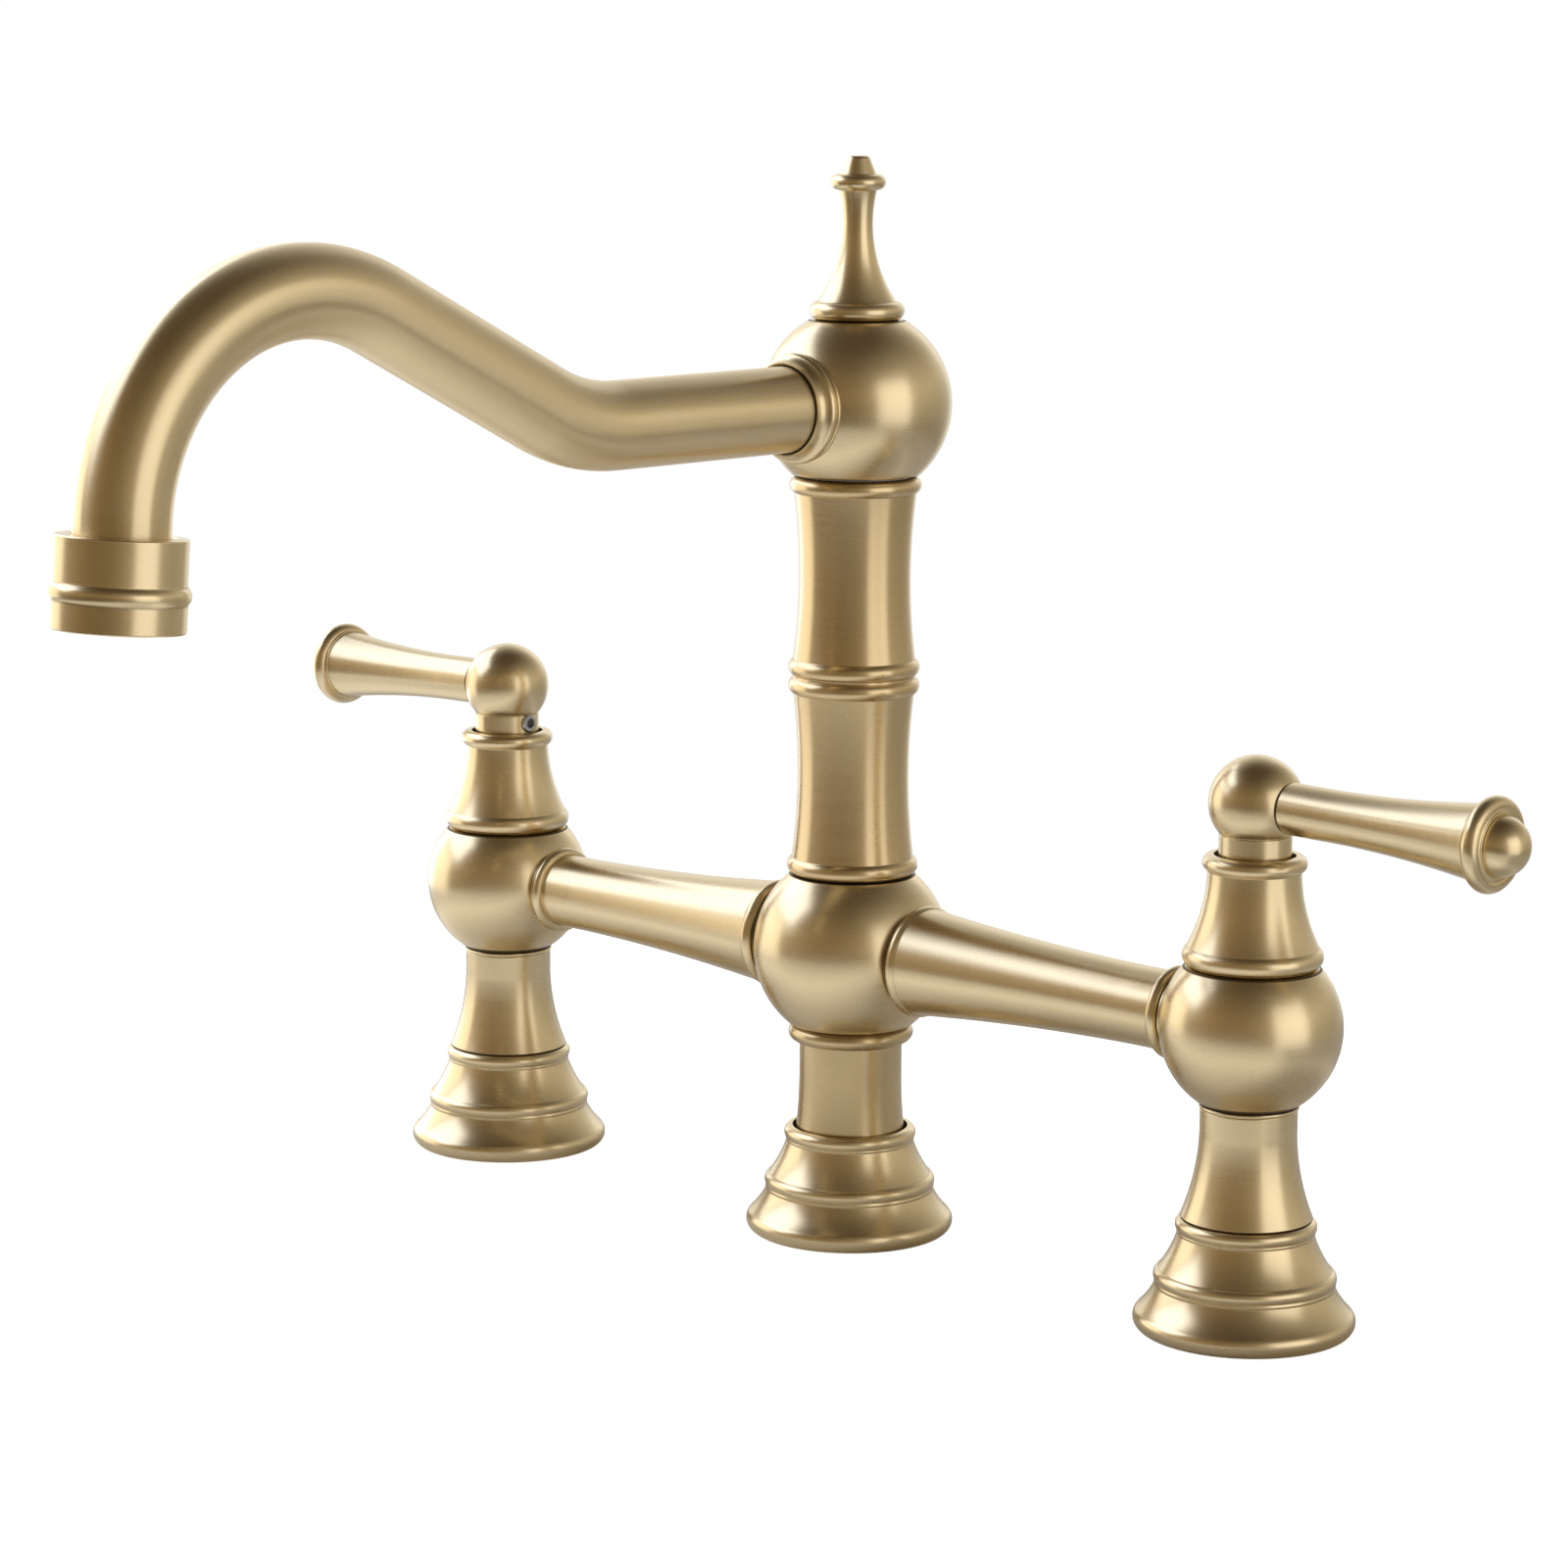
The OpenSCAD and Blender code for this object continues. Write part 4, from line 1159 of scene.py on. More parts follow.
@dataclass
class Bridge:
    """The centre ball, its post and foot, and the two arms."""

    half_span: float = 101.6
    height: float = 59.0
    ball_radius: float = 19.95
    seat_radius: float = 12.6
    post_bead_radius: float = 12.75
    post_bead_height: float = 3.6
    post_radius: float = 10.45
    post_foot_radius: float = 11.1
    post_flare_top: float = 33.0
    post_step: float = 21.1
    stud_radius: float = 4.25
    stud_depth: float = 20.0
    ring_bore: float = 11.75
    arm_outer_radius: float = 7.75
    arm_inner_radius: float = 10.7
    arm_straight: float = 8.0
    arm_hollow: float = 0.57
    outer_collar_radius: float = 9.15
    outer_collar_width: float = 2.4
    inner_collar_radius: float = 11.3
    inner_collar_width: float = 2.8
    collar_groove: float = 1.0
    valve_ball_radius: float = 17.4
    inner_collar_lap: float = 1.7
    outer_collar_lap: float = 1.0
    spigot_step: float = 0.6
    spigot: float = 2.0
    post_sag: float = 0.15

    @property
    def riser_seat(self) -> float:
        """Return the height of the flat on top of the centre ball."""
        return self.height + cap_height(self.ball_radius, self.seat_radius)

    @property
    def post_seat(self) -> float:
        """Return the height of the flat under the centre ball."""
        return self.height - cap_height(self.ball_radius, self.seat_radius)

    def post_outline(self) -> Outline:
        """Return the half outline of the centre post."""
        bead_low = self.post_seat - self.post_bead_height
        shape = Outline(self.stud_radius, 0.0)
        shape.to(self.post_foot_radius, 0.0).to(self.post_foot_radius, self.post_step)
        shape.bow(self.post_radius, self.post_flare_top, self.post_sag)
        shape.to(self.post_radius, bead_low)
        shape.bead(bead_low, self.post_seat, self.post_bead_radius, met_above=2)
        shape.to(0.0, self.post_seat)
        shape.points.insert(0, (0.0, self.stud_depth))
        shape.points.insert(1, (self.stud_radius, self.stud_depth))
        return shape

    def arm_outline(self) -> Outline:
        """Return the half outline of an arm, from the centre ball outwards."""
        inner_seat = self.inner_collar_radius - self.inner_collar_lap
        outer_seat = self.outer_collar_radius - self.outer_collar_lap
        inner_spigot, outer_spigot = inner_seat - self.spigot_step, outer_seat - self.spigot_step
        start = cap_height(self.ball_radius, inner_seat)
        stop = self.half_span - cap_height(self.valve_ball_radius, outer_seat)
        bead_in = start + self.collar_groove
        bead_out = stop - self.collar_groove
        taper_from = bead_in + self.inner_collar_width
        taper_to = bead_out - self.outer_collar_width
        shape = Outline(0.0, start - self.spigot).to(inner_spigot, start - self.spigot)
        shape.to(inner_spigot, start).to(inner_seat, start).joint().to(inner_seat, bead_in).joint()
        shape.bead(bead_in, taper_from, self.inner_collar_radius,
                   leave=self.arm_inner_radius + 0.05, met_below=3)
        shape.bow(self.arm_outer_radius, taper_to - self.arm_straight, self.arm_hollow)
        shape.to(self.arm_outer_radius, taper_to)
        shape.bead(taper_to, bead_out, self.outer_collar_radius)
        shape.to(outer_seat, bead_out).joint().to(outer_seat, stop).joint()
        shape.to(outer_spigot, stop).to(outer_spigot, stop + self.spigot)
        return shape.to(0.0, stop + self.spigot)

    def ball_outline(self) -> Outline:
        """Return the half outline of the centre ball."""
        return seated_ball(self.post_seat, self.seat_radius, self.height, self.ball_radius,
                           self.riser_seat)

    def build(self, finishes: Finishes) -> None:
        """Make the bridge.

        Args:
            finishes: The faucet's finishes.
        """
        Foot().build(finishes, "foot_centre", 0.0, self.ring_bore)
        finishes.turn("post_centre", "bridge", self.post_outline(), upright(), finishes.post_brass)
        finishes.turn("centre_ball", "bridge", self.ball_outline(), upright(), **BALL_CUT)
        for side in Side:
            place = aimed((0.0, 0.0, self.height), (side.value, 0.0, 0.0))
            finishes.turn(f"arm_{side.tag}", "bridge", self.arm_outline(), place)


@dataclass
class Riser:
    """The riser: two waisted halves between four beads, bored for the spout's stem."""

    foot: float
    length: float = 80.8
    bead_radius: float = 13.25
    low_bead: float = 3.8
    mid_bead: float = 3.7
    top_bead: float = 3.5
    middle: float = 40.5
    end_radius: float = 12.2
    hollow: float = 1.05
    bore: float = 8.1
    bore_depth: float = 27.0
    recess_radius: float = 11.45
    recess_depth: float = 0.8

    @property
    def top(self) -> float:
        """Return the height of the riser's top face."""
        return self.foot + self.length

    def outline(self) -> Outline:
        """Return the half outline of the riser."""
        # The small numbers say how far each wall runs into its bead.
        low = self.foot + self.low_bead
        mid = self.foot + self.middle
        high = self.top - self.top_bead
        shape = Outline(0.0, self.foot)
        shape.bead(self.foot, low, self.bead_radius, leave=self.end_radius + 0.12, met_below=4)
        shape.bow(self.end_radius, mid - self.mid_bead + 0.25, self.hollow)
        shape.bead(mid - self.mid_bead, mid, self.bead_radius, enter=self.end_radius + 0.08,
                   leave=self.end_radius + 0.2)
        shape.bead(mid, mid + self.mid_bead, self.bead_radius, enter=self.end_radius + 0.2,
                   leave=self.end_radius + 0.08)
        shape.bow(self.end_radius + 0.05, high + 0.22, self.hollow)
        shape.bead(high, self.top, self.bead_radius, enter=self.end_radius + 0.1, met_above=4)
        shape.to(self.recess_radius, self.top).to(self.recess_radius, self.top - self.recess_depth)
        shape.to(self.bore, self.top - self.recess_depth).to(self.bore, self.top - self.bore_depth)
        return shape.to(0.0, self.top - self.bore_depth)

    def build(self, finishes: Finishes) -> None:
        """Make the riser.

        Args:
            finishes: The faucet's finishes.
        """
        finishes.turn("riser", "bridge", self.outline(), upright(), finishes.column_brass)


@dataclass
class ValveColumn:
    """An outer column: foot, neck, valve ball and bell."""

    side: Side
    bridge: Bridge
    ball_radius: float = 17.4
    neck_foot_radius: float = 12.7
    neck_top_radius: float = 9.25
    neck_flare_top: float = 38.5
    neck_hollow: float = 0.75
    neck_tail_radius: float = 11.0
    inlet_radius: float = 7.5
    inlet_length: float = 14.0
    waterway: float = 5.0
    bell_seat_radius: float = 12.95
    lip_radius: float = 13.35
    lip_height: float = 4.4
    bell_height: float = 21.5
    bell_neck: float = 8.8
    bell_bead: float = 9.87
    bell_bead_height: float = 3.2
    bell_hollow: float = 0.85
    bell_bore: float = 7.7
    over_flange: float = 10.8
    over_hexagon: float = 9.54
    neck_low: float = 0.5
    foot_gap: float = 0.06
    neck_bead_height: float = 0.95
    neck_bead_out: float = 0.25
    bell_gap: float = 0.04
    bell_narrows: tuple[float, float, float] = (12.0, 7.0, 3.3)

    @property
    def x(self) -> float:
        """Return the column's place along X."""
        return self.side.value * self.bridge.half_span

    @property
    def neck_seat(self) -> float:
        """Return the height at which the ball rests on the neck."""
        return self.bridge.height - cap_height(self.ball_radius, self.neck_top_radius)

    @property
    def bell_seat(self) -> float:
        """Return the height at which the bell rests on the ball."""
        return self.bridge.height + cap_height(self.ball_radius, self.bell_seat_radius)

    @property
    def bell_top(self) -> float:
        """Return the height of the bell's top."""
        return self.bell_seat + self.bell_height

    def neck_outline(self, foot: Foot) -> Outline:
        """Draw the neck.

        Args:
            foot: The foot that it stands in.

        Returns:
            The half outline.
        """
        inner = self.neck_low + self.inlet_length
        rest = foot.height + self.foot_gap
        bead_low = self.neck_seat - self.neck_bead_height
        shape = Outline(self.inlet_radius, self.neck_low)
        shape.to(self.neck_tail_radius, self.neck_low).to(self.neck_tail_radius, rest)
        shape.to(self.neck_foot_radius, rest).joint()
        shape.bow(self.neck_top_radius, self.neck_flare_top, self.neck_hollow)
        shape.to(self.neck_top_radius, bead_low)
        shape.bead(bead_low, self.neck_seat, self.neck_top_radius + self.neck_bead_out, met_above=7)
        shape.to(self.waterway, self.neck_seat).to(self.waterway, inner)
        shape.to(self.inlet_radius, inner)
        return shape.close()

    def ball_outline(self) -> Outline:
        """Return the half outline of the valve ball."""
        return seated_ball(self.neck_seat, self.neck_top_radius, self.bridge.height,
                           self.ball_radius, self.bell_seat, met_below=3)

    def bell_outline(self) -> Outline:
        """Return the closed half outline of the bell."""
        seat = self.bell_seat
        bore_low, hexagon_low, flange_low = (seat + height for height in self.bell_narrows)
        bead_low = self.bell_top - self.bell_bead_height
        shape = Outline(self.over_flange, seat + self.bell_gap)
        shape.bead(seat + self.bell_gap, seat + self.lip_height, self.lip_radius,
                   leave=self.lip_radius - 0.82, met_below=1)
        shape.bow(self.bell_neck + 0.02, bead_low + 0.1, self.bell_hollow - 0.05)
        shape.bead(bead_low, self.bell_top, self.bell_bead, enter=self.bell_neck + 0.25)
        shape.to(self.bell_bore, self.bell_top).to(self.bell_bore, bore_low)
        shape.to(self.over_hexagon, hexagon_low).to(self.over_flange, flange_low)
        return shape.close()

    def build(self, finishes: Finishes) -> None:
        """Make the column.

        Args:
            finishes: The faucet's finishes.
        """
        foot, tag, place = Foot(), self.side.tag, upright(self.x)
        foot.build(finishes, f"foot_{tag}", self.x, self.neck_tail_radius + SLIP)
        finishes.turn(f"neck_{tag}", "bridge", self.neck_outline(foot), place)
        finishes.turn(f"valve_ball_{tag}", "bridge", self.ball_outline(), place, **BALL_CUT)
        finishes.turn(f"bell_{tag}", "bridge", self.bell_outline(), place)


@dataclass
class Handle:
    """A handle: hub with its stem, lever with a rounded flange, and domed cap."""

    column: ValveColumn
    stem_radius: float = 6.87
    stem_drop: float = 5.7
    ball_radius: float = 9.0
    rise: float = 9.8
    droop: float = 1.0
    lever_radius: float = 4.9
    lever_length: float = 50.6
    lever_root: float = 18.0
    lever_seam_at: float = 7.75
    root_seam: float = 0.22
    lever_end_radius: float = 7.25
    lever_hollow: float = 0.55
    flange_radius: float = 8.95
    flange_width: float = 3.4
    cap_radius: float = 5.75
    spindle_bore: float = 3.45
    spindle_bore_top: float = 5.55
    screw_rise: float = 2.1
    screw_pocket: float = 1.5
    screw_floor: float = 4.9
    screw_rows: int = 18
    stem_seam: float = 0.25
    lever_start: float = 7.0
    flange_step: float = 0.5
    flange_root: float = 0.35
    dish: float = 0.25

    @property
    def centre(self) -> float:
        """Return the height of the hub's ball."""
        return self.column.bell_top + self.rise

    @property
    def face(self) -> float:
        """Return how far from the hub's centre the flange's end face lies."""
        return self.lever_length + self.flange_step + self.flange_width

    def hub_outline(self) -> Outline:
        """Return the half outline of the hub, with the spindle's socket in its stem."""
        stem_foot = self.column.bell_top - self.stem_drop
        stem_top = self.centre - cap_height(self.ball_radius, self.stem_radius)
        seam = self.stem_seam
        bore_top = self.column.bell_top + self.spindle_bore_top
        shape = Outline(0.0, bore_top).to(self.spindle_bore, bore_top)
        shape.to(self.spindle_bore, stem_foot).to(self.stem_radius, stem_foot)
        # Rows close together, so that the screw's pocket gets a round rim.
        low = self.column.bell_top + self.screw_rise - self.screw_pocket - 0.3
        for row in range(self.screw_rows + 1):
            shape.to(self.stem_radius, low + (stem_top - seam - 0.2 - low) * row / self.screw_rows)
        shape.to(self.stem_radius, stem_top - seam).to(self.stem_radius - seam, stem_top - seam)
        shape.to(self.stem_radius - seam, stem_top).to(self.stem_radius, stem_top)
        return shape.ball(self.centre, self.ball_radius, self.centre + self.ball_radius, steps=60)

    def lever_outline(self) -> Outline:
        """Return the half outline of the lever, out to the dished face of its flange."""
        flange, face = self.face - self.flange_width, self.face
        root = self.lever_radius - self.root_seam
        shape = Outline(0.0, self.lever_start)
        shape.to(root, self.lever_start).to(root, self.lever_seam_at).joint()
        shape.to(self.lever_radius, self.lever_seam_at + self.root_seam).joint()
        shape.to(self.lever_radius, self.lever_root)
        shape.bow(self.lever_end_radius, self.lever_length, self.lever_hollow)
        shape.to(self.lever_end_radius + self.flange_root, self.lever_length)
        shape.to(self.lever_end_radius + self.flange_root, flange)
        shape.bead(flange, face, self.flange_radius)
        shape.sweep((self.cap_radius + 0.95, face + self.dish), 0.6, -25, -155, 12)
        return shape.to(0.0, face)

    def cap_outline(self) -> Outline:
        """Return the half outline of the domed cap."""
        base, centre = self.face - self.dish, self.face - 0.3
        shape = Outline(0.0, base).to(self.cap_radius, base)
        return shape.ball(centre, self.cap_radius, centre + self.cap_radius, steps=40)

    def build(self, finishes: Finishes) -> None:
        """Make the handle.

        Args:
            finishes: The faucet's finishes.
        """
        side = self.column.side
        body = f"handle_{side.tag}"
        pocket = Pocket(-side.value, self.column.bell_top + self.screw_rise, self.screw_pocket,
                        self.screw_floor)
        finishes.turn(f"hub_{side.tag}", body, self.hub_outline(), upright(self.column.x),
                      steps=HUB_STEPS, pocket=pocket)
        slope = math.radians(self.droop)
        place = aimed((self.column.x, 0.0, self.centre),
                      (side.value * math.cos(slope), 0.0, -math.sin(slope)))
        finishes.turn(f"lever_{side.tag}", body, self.lever_outline(), place)
        finishes.turn(f"lever_cap_{side.tag}", body, self.cap_outline(), place)


@dataclass
class Spout:
    """The swivelling spout: ball, finial, collar, bent tube and outlet housing."""

    riser_top: float
    gap: float = 0.3
    seat_radius: float = 12.8
    ball_radius: float = 19.1
    tube_radius: float = 8.5
    tube_wall: float = 1.5
    tube_start: float = 11.0
    level_run: float = 68.0
    rise_bend: float = 43.0
    rise_angle: float = 26.457
    rise_run: float = 44.5
    arch: float = 40.4
    arch_angle: float = 111.77
    drop: float = 2.6
    in_housing: float = 5.0
    collar_radius: float = 10.6
    collar_ring: float = 0.9
    collar_groove: float = 0.15
    collar_bead: float = 10.95
    collar_bead_width: float = 2.2
    collar_mouth: float = 9.3
    collar_length: float = 5.3
    tube_seam: float = 0.4
    outlet_radius: float = 11.6
    outlet_bead: float = 12.4
    outlet_low: float = 11.75
    outlet_upper_length: float = 7.75
    outlet_bead_length: float = 4.0
    outlet_low_length: float = 4.45
    aerator_bore: float = 9.95
    aerator_depth: float = 8.0
    finial_base: float = 9.5
    finial_base_height: float = 3.7
    finial_neck: float = 3.0
    finial_neck_height: float = 19.2
    finial_sweep: float = 27.5
    finial_bead_height: float = 25.6
    finial_bead: float = 5.5
    finial_bead_width: float = 3.1
    finial_tip: float = 3.6
    finial_tip_top: float = 2.2
    finial_tip_height: float = 3.6
    finial_tip_round: float = 0.62
    finial_gap: float = 0.04

    @property
    def centre(self) -> float:
        """Return the height of the spout ball's centre."""
        return self.riser_top + self.gap + cap_height(self.ball_radius, self.seat_radius)

    @property
    def inner_radius(self) -> float:
        """Return the radius of the tube's bore."""
        return self.tube_radius - self.tube_wall

    @property
    def finial_foot(self) -> float:
        """Return the height at which the finial rests on the ball."""
        return self.centre + cap_height(self.ball_radius, self.finial_base)

    @property
    def collar_face(self) -> float:
        """Return how far in front of the riser's axis the tube leaves its collar."""
        return cap_height(self.ball_radius, self.collar_radius) + self.collar_length

    def stations(self) -> list[tuple[float, float, float, float]]:
        """List the tube's axis.

        Returns:
            Distance in front of the riser, height, slope in degrees and length so far of each ring.
        """
        forward, height, slope, length = self.tube_start, self.centre, 0.0, 0.0
        rows = [(forward, height, slope, length)]
        # Each stretch has a length or a bend radius, the angle that it turns, and its steps.
        stretches = ((self.collar_face - self.tube_start, 0.0, 3), (self.tube_seam, 0.0, 1),
                     (self.level_run - self.collar_face - self.tube_seam, 0.0, 20),
                     (self.rise_bend, self.rise_angle, 20), (self.rise_run, 0.0, 16),
                     (self.arch, -self.arch_angle, 84), (self.drop + self.in_housing, 0.0, 6))
        for size, angle, steps in stretches:
            turn = angle / steps
            part = size * math.radians(abs(angle)) / steps if angle else size / steps
            chord = 2 * size * math.sin(math.radians(abs(turn)) / 2) if angle else part
            for _ in range(steps):
                way = math.radians(slope + turn / 2)
                forward += chord * math.cos(way)
                height += chord * math.sin(way)
                slope += turn
                length += part
                rows.append((forward, height, slope, length))
        return rows

    def tube(self) -> bpy.types.Object:
        """Build the bent tube as one smooth skin with its inner wall.

        Returns:
            The new object.
        """
        rows = self.stations()
        corners, normals, lengths, marks = [], [], [], []
        across = Vector((1.0, 0.0, 0.0))
        walls = ((self.tube_radius, 1.0, rows), (self.inner_radius, -1.0, rows[::-1]))
        for radius, facing, path in walls:
            for forward, height, slope, length in path:
                tilt = math.radians(slope)
                over = Vector((0.0, math.sin(tilt), math.cos(tilt)))
                middle = Vector((0.0, -forward, height)) * MM
                for step in range(BEND_STEPS):
                    angle = 2 * math.pi * step / BEND_STEPS
                    out = across * math.cos(angle) + over * math.sin(angle)
                    corners.append(middle + out * radius * MM)
                    normals.append(out * facing)
                    lengths.append(length * MM)
                    # The tube's end inside the collar gets the joint's painted shade.
                    marks.append(JOINT if forward < self.collar_face + 0.1 else FLAT_EDGE)
        rings = 2 * len(rows)
        faces = []
        for ring in range(rings):
            low, high = ring * BEND_STEPS, (ring + 1) % rings * BEND_STEPS
            for step in range(BEND_STEPS):
                after = (step + 1) % BEND_STEPS
                faces.append((low + step, low + after, high + after, high + step))
        piece = mesh_object("spout_tube_skin", corners, faces, normals, marks, Matrix.Identity(4))
        layer = piece.data.uv_layers.new(name=TUBE_CHART)
        for face in piece.data.polygons:
            steps = [corner % BEND_STEPS for corner in face.vertices]
            wraps = max(steps) - min(steps) > 1
            for loop, corner in zip(face.loop_indices, face.vertices):
                step = corner % BEND_STEPS
                girth = (BEND_STEPS if wraps and step == 0 else step) / BEND_STEPS
                layer.data[loop].uv = (girth, lengths[corner])
        return piece

    def ball_outline(self) -> Outline:
        """Return the half outline of the spout ball."""
        return seated_ball(self.riser_top + self.gap, self.seat_radius, self.centre,
                           self.ball_radius, self.finial_foot)

    def finial_outline(self) -> Outline:
        """Return the half outline of the finial."""
        foot = self.finial_foot
        neck = foot + self.finial_neck_height
        bead = foot + self.finial_bead_height
        middle = self.finial_neck + self.finial_sweep
        rest = self.finial_base - 1.2
        base_top = foot + self.finial_base_height
        low = neck - math.sqrt(self.finial_sweep ** 2 - (middle - rest) ** 2)
        low = max(low, base_top - 0.02)
        side = middle - math.sqrt(self.finial_sweep ** 2 - (neck - low) ** 2)
        shape = Outline(0.0, foot + self.finial_gap)
        shape.bead(foot + self.finial_gap, base_top, self.finial_base, leave=side + 0.05,
                   met_below=3)
        start = math.degrees(math.atan2(low - neck, side - middle)) + 360
        narrow = -math.sqrt(self.finial_sweep ** 2 - (bead - neck) ** 2)
        stop = math.degrees(math.atan2(bead - neck, narrow))
        shape.sweep((middle, neck), self.finial_sweep, start, stop, 44)
        shape.bead(bead, bead + self.finial_bead_width, self.finial_bead, leave=self.finial_tip)
        tip = bead + self.finial_bead_width + self.finial_tip_height
        shape.to(self.finial_tip_top + 0.14, tip - 0.5)
        shape.sweep((self.finial_tip_top - 0.5, tip - self.finial_tip_round),
                    self.finial_tip_round, 15, 90, 8)
        return shape.to(0.0, tip)

    def collar_outline(self) -> Outline:
        """Return the closed half outline of the collar where the tube enters the ball."""
        seat = cap_height(self.ball_radius, self.collar_radius)
        ring_top = seat + self.collar_ring
        bead_from = ring_top + self.collar_groove
        bead_to = bead_from + self.collar_bead_width
        mouth = seat + self.collar_length
        bore = self.tube_radius + SLIP
        root = self.collar_radius - self.collar_ring / 2
        shape = Outline(bore, seat)
        shape.bead(seat, ring_top, self.collar_radius, leave=root)
        shape.bead(bead_from, bead_to, self.collar_bead, enter=root, leave=self.collar_bead - 0.6)
        shape.bow(self.collar_mouth, mouth, 0.3)
        shape.sweep((bore, mouth), 0.35, 0, -90, 6).joint(3)
        return shape.close()

    def outlet_outline(self) -> Outline:
        """Return the closed half outline of the outlet housing, downwards from its top."""
        bead = self.outlet_upper_length
        low = bead + self.outlet_bead_length
        length = low + self.outlet_low_length
        bore = self.tube_radius + SLIP
        step = length - self.aerator_depth
        shape = Outline(bore, 0.0)
        shape.to(self.outlet_radius, 0.0).to(self.outlet_radius, bead)
        shape.bead(bead, low, self.outlet_bead, enter=self.outlet_radius + 0.02,
                   leave=self.outlet_low + 0.04)
        shape.to(self.outlet_low, length).to(self.aerator_bore, length).to(self.aerator_bore, step)
        shape.to(self.inner_radius, step).to(self.inner_radius, self.in_housing)
        return shape.to(bore, self.in_housing).close()

    def outlet_place(self) -> Matrix:
        """Return the frame of the outlet housing, at its top."""
        forward, height, slope, _ = self.stations()[-1]
        tilt = math.radians(slope)
        forward -= self.in_housing * math.cos(tilt)
        height -= self.in_housing * math.sin(tilt)
        return aimed((0.0, -forward, height), (0.0, -math.cos(tilt), math.sin(tilt)))

    def build(self, finishes: Finishes) -> None:
        """Make the spout.

        Args:
            finishes: The faucet's finishes.
        """
        finishes.turn("spout_ball", "spout", self.ball_outline(), upright(), **BALL_CUT)
        finishes.turn("finial", "spout", self.finial_outline(), upright())
        place = aimed((0.0, 0.0, self.centre), (0.0, -1.0, 0.0))
        finishes.turn("spout_collar", "spout", self.collar_outline(), place, soft=0.1)
        finishes.dress(self.tube(), "spout", "spout_tube", finishes.drawn_brass)
        finishes.turn("outlet_housing", "spout", self.outlet_outline(), self.outlet_place(),
                      soft=0.4)


@dataclass(frozen=True)
class SoftBox:
    """A soft box of the studio: where it hangs, how large it is and how bright."""

    name: str
    bearing: float
    height: float
    wide: float
    tall: float
    radiance: float
    colour: Colour
    distance: float = 1.3


SOFT_BOXES = (
    SoftBox("window_box", 47.0, 0.25, 1.02, 1.2, 0.85, (1.0, 1.02, 1.12)),
    SoftBox("left_box", -114.0, 0.06, 0.86, 0.85, 1.15, (1.0, 0.97, 0.92)),
    SoftBox("sky_box", -114.0, 1.06, 1.85, 0.92, 1.9, (0.86, 0.98, 1.3)),
    SoftBox("rim_box", -142.0, 0.1, 0.45, 0.9, 1.5, (0.88, 0.98, 1.25)),
)
# The room's walls, by degrees to the right of the camera as seen from the faucet.
WALLS: tuple[tuple[float, Colour], ...] = (
    (-180, WHITE), (-152, WHITE), (-140, (0.5, 0.47, 0.44)), (-92, (0.38, 0.31, 0.22)),
    (-61, (0.27, 0.2, 0.115)), (-42, (0.22, 0.16, 0.09)), (-18, (0.21, 0.16, 0.095)),
    (4, (0.26, 0.21, 0.14)), (24, (0.4, 0.34, 0.25)), (70, (0.5, 0.45, 0.36)),
    (115, (0.44, 0.4, 0.34)), (142, (0.56, 0.55, 0.53)), (155, WHITE),
)
CEILING: Colour = (0.085, 0.063, 0.042)


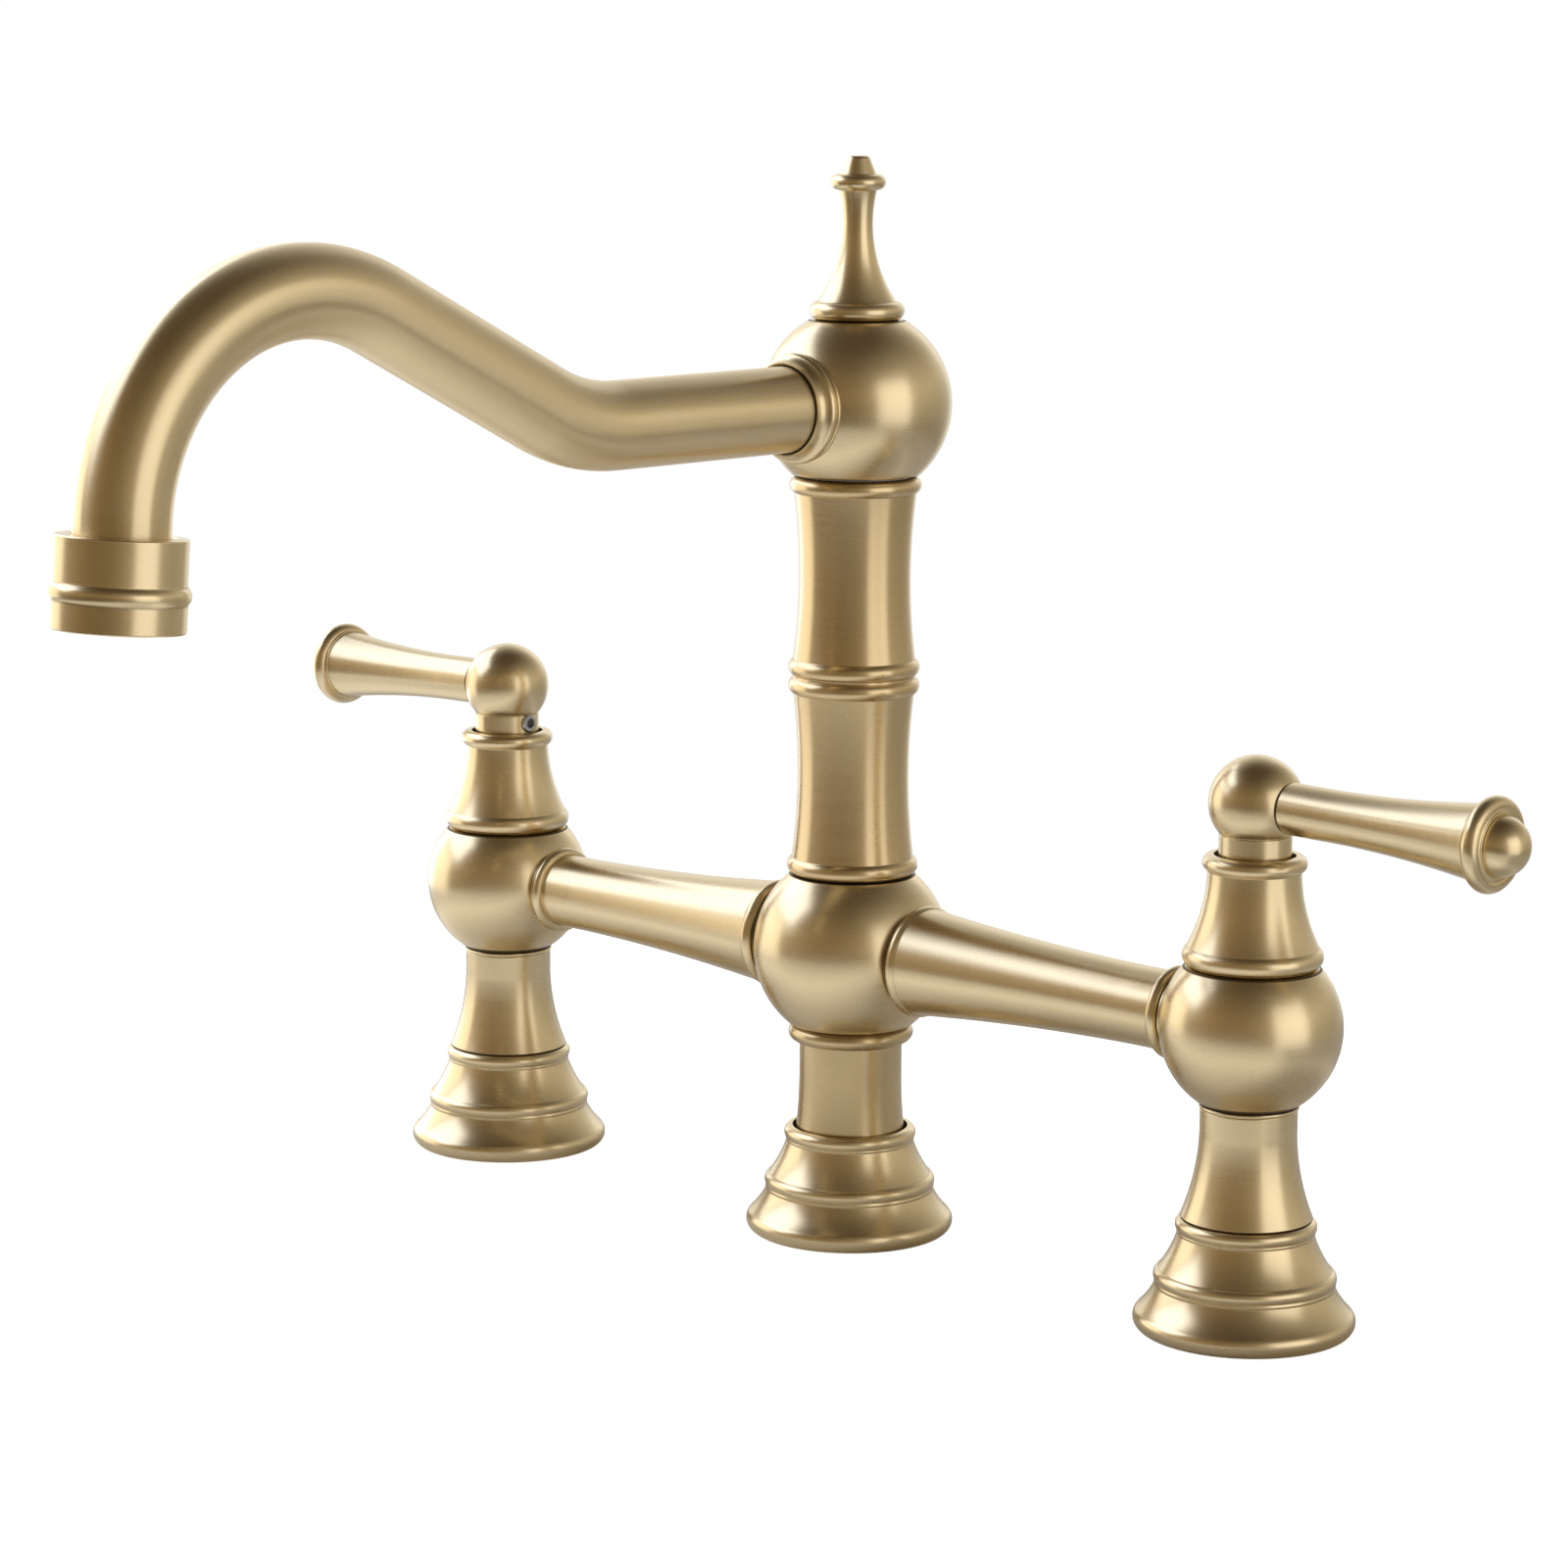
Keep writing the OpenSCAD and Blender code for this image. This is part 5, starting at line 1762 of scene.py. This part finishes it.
@dataclass
class Studio:
    """Camera, pale floor, soft boxes and the room that the brass reflects."""

    eye: tuple[float, float, float] = (0.5979, -0.6600, 0.2498)
    bearing: float = 43.07
    pitch: float = 10.01
    roll: float = -0.35
    lens: float = 102.67
    sensor: float = 36.0
    clip_start: float = 0.01
    aim_height: float = 0.1
    floor_rings: tuple[float, ...] = (0.1, 0.2, 0.3, 0.38)
    floor_steps: int = 96
    floor_level: float = -0.0002
    floor_grey: Colour = (0.8, 0.8, 0.8)
    floor_seen: float = 0.9
    half_bridge: float = 0.1
    shadow_slant: float = 0.15
    low_walls: Span = (-0.45, -0.1, 0.5, 1.0)
    high_walls: Span = (-0.03, 0.2, 0.0, 0.45)
    ceiling: Span = (0.25, 0.95)
    backdrop: Span = (0.86, 0.93)
    backdrop_top: Span = (0.5, 0.2)
    # Painted light and shadow of the floor as the brass sees it: a bright ring round the faucet,
    # dimmer close in and far out, and painted shadow behind it.
    floor_rise: Span = (0.03, 0.1, 0.12, 0.62)
    floor_fall: Span = (0.12, 0.16, 0.0, -0.3)
    shadow: Span = (-0.02, 0.03, 0.0, -0.45)

    def camera(self) -> None:
        """Make the camera that stands where the photographer stood."""
        turn, dip, roll = (math.radians(v) for v in (self.bearing, self.pitch, self.roll))
        right = Vector((math.cos(turn), math.sin(turn), 0.0))
        ahead = Vector((-math.sin(turn) * math.cos(dip), math.cos(turn) * math.cos(dip),
                        -math.sin(dip)))
        down = ahead.cross(right)
        across = right * math.cos(roll) + down * math.sin(roll)
        below = -right * math.sin(roll) + down * math.cos(roll)
        data = bpy.data.cameras.new("studio_camera")
        data.lens, data.sensor_width, data.clip_start = self.lens, self.sensor, self.clip_start
        camera = placed("studio_camera", data)
        turned_frame = Matrix((across, -below, -ahead)).transposed().to_4x4()
        camera.matrix_world = Matrix.Translation(self.eye) @ turned_frame
        bpy.context.scene.camera = camera

    def toward(self, bearing: float) -> Vector:
        """Turn a bearing into a direction.

        Args:
            bearing: Degrees to the right of the camera, as seen from the faucet.

        Returns:
            The level direction.
        """
        turn, angle = math.radians(self.bearing), math.radians(bearing)
        back = Vector((math.sin(turn), -math.cos(turn), 0.0))
        right = Vector((math.cos(turn), math.sin(turn), 0.0))
        return back * math.cos(angle) + right * math.sin(angle)

    def soft_box(self, box: SoftBox) -> None:
        """Hang one soft box, which the camera doesn't see.

        Args:
            box: Its place and size.
        """
        data = bpy.data.lights.new(box.name, "AREA")
        data.shape = "RECTANGLE"
        data.size, data.size_y = box.wide, box.tall
        data.energy = box.radiance * math.pi * box.wide * box.tall
        data.color = box.colour
        lamp = placed(box.name, data)
        place = self.toward(box.bearing) * box.distance + Vector((0.0, 0.0, box.height))
        aim = Vector((0.0, 0.0, self.aim_height)) - place
        tilt = aim.to_track_quat("-Z", "Y").to_matrix().to_4x4()
        lamp.matrix_world = Matrix.Translation(place) @ tilt
        lamp.visible_camera = False
        LOG.info("soft box %s hangs at %.2f m", box.name, box.distance)

    def room(self) -> None:
        """Paint the room: white for the camera and behind the faucet, darker walls elsewhere."""
        world = bpy.data.worlds.new("studio_room")
        bpy.context.scene.world = world
        world.use_nodes = True
        world.node_tree.nodes.clear()
        build = NodeBuilder(world.node_tree)
        way = build.coordinates("Generated")

        def along(axis: Vector) -> Socket:
            """Return how far the looked-at direction goes along an axis."""
            node = build.add("ShaderNodeVectorMath", {0: way, 1: axis}, operation="DOT_PRODUCT")
            return node.outputs["Value"]

        bearing = build.math("ARCTAN2", along(self.toward(90.0)), along(self.toward(0.0)))
        walls = build.add("ShaderNodeValToRGB", {0: build.span(bearing, -math.pi, math.pi)})
        ramp = walls.color_ramp
        while len(ramp.elements) > 1:
            ramp.elements.remove(ramp.elements[-1])
        for index, (angle, colour) in enumerate(WALLS):
            place = (angle + 180) / 360
            element = ramp.elements[0] if index == 0 else ramp.elements.new(place)
            element.position = place
            element.color = (*colour, 1.0)
        height = along(Vector((0.0, 0.0, 1.0)))
        level = build.plus(build.span(height, *self.low_walls),
                           build.span(height, *self.high_walls))
        lit_walls = build.add("ShaderNodeVectorMath", {0: walls.outputs[0], "Scale": level},
                              operation="SCALE")
        room = build.blend(build.span(height, *self.ceiling), lit_walls.outputs[0], CEILING)
        behind = build.span(along(self.toward(180.0)), *self.backdrop)
        backdrop = build.times(behind, build.span(height, *self.backdrop_top))
        camera, mirrored = build.mirrored()
        seen = build.most(camera, build.times(mirrored, backdrop))
        shine = build.add("ShaderNodeBackground", {"Color": build.blend(seen, room, WHITE)})
        build.add("ShaderNodeOutputWorld", {"Surface": shine.outputs[0]})

    def floor_mesh(self) -> bpy.types.Mesh:
        """Make the floor's mesh.

        Returns:
            A disc, ring by ring round its centre.
        """
        steps = self.floor_steps
        corners = [(0.0, 0.0, self.floor_level)]
        for radius in self.floor_rings:
            for step in range(steps):
                angle = 2 * math.pi * step / steps
                x, y = radius * math.cos(angle), radius * math.sin(angle)
                corners.append((x, y, self.floor_level))
        faces = [(0, 1 + step, 1 + (step + 1) % steps) for step in range(steps)]
        for ring in range(len(self.floor_rings) - 1):
            low, high = 1 + ring * steps, 1 + (ring + 1) * steps
            for step in range(steps):
                after = (step + 1) % steps
                faces.append((low + step, high + step, high + after, low + after))
        mesh = bpy.data.meshes.new("studio_floor")
        mesh.from_pydata(corners, [], faces)
        return mesh

    def floor(self) -> None:
        """Lay the pale floor: white to the camera with a soft cast shadow, and in the brass a
        painted ring of light round the faucet with painted shadow behind it.
        """
        material, build = plain_material("pale_floor")
        x, y, _ = build.parts(build.coordinates())
        beyond = build.most(build.minus(build.math("ABSOLUTE", x), self.half_bridge), 0.0)
        away = build.math("SQRT", build.plus(build.times(beyond, beyond), build.times(y, y)))
        # Painted pool of light round the faucet and painted shadow behind it, seen only in
        # reflections.
        ring = build.plus(build.span(away, *self.floor_rise), build.span(away, *self.floor_fall))
        shade = build.span(build.plus(y, build.times(x, self.shadow_slant)), *self.shadow)
        camera, mirrored = build.mirrored()
        lit = build.most(build.plus(ring, shade), 0.0)
        seen = build.most(build.times(camera, self.floor_seen), build.times(mirrored, lit))
        matte = build.add("ShaderNodeBsdfDiffuse", {"Color": self.floor_grey})
        white = build.add("ShaderNodeEmission", {"Strength": seen})
        total = build.add("ShaderNodeAddShader", {0: matte.outputs[0], 1: white.outputs[0]})
        build.add("ShaderNodeOutputMaterial", {"Surface": total.outputs[0]})
        mesh = self.floor_mesh()
        mesh.materials.append(material)
        placed("studio_floor", mesh)

    def build(self) -> None:
        """Set up the whole studio."""
        bpy.context.scene.view_settings.view_transform = "Standard"
        self.camera()
        self.room()
        self.floor()
        for box in SOFT_BOXES:
            self.soft_box(box)


def main() -> None:
    """Build the studio, the finishes and every sub-assembly in order."""
    logging.basicConfig(level=logging.INFO, format="%(message)s")
    Studio().build()
    finishes = Finishes()
    LOG.info("dressed %d solids of the frame", finishes.dress_nodes())
    bridge = Bridge()
    bridge.build(finishes)
    for side in Side:
        column = ValveColumn(side, bridge)
        column.build(finishes)
        Handle(column).build(finishes)
    riser = Riser(bridge.riser_seat)
    riser.build(finishes)
    Spout(riser.top).build(finishes)
    LOG.info("the faucet is complete")


if __name__ == "__main__":
    main()
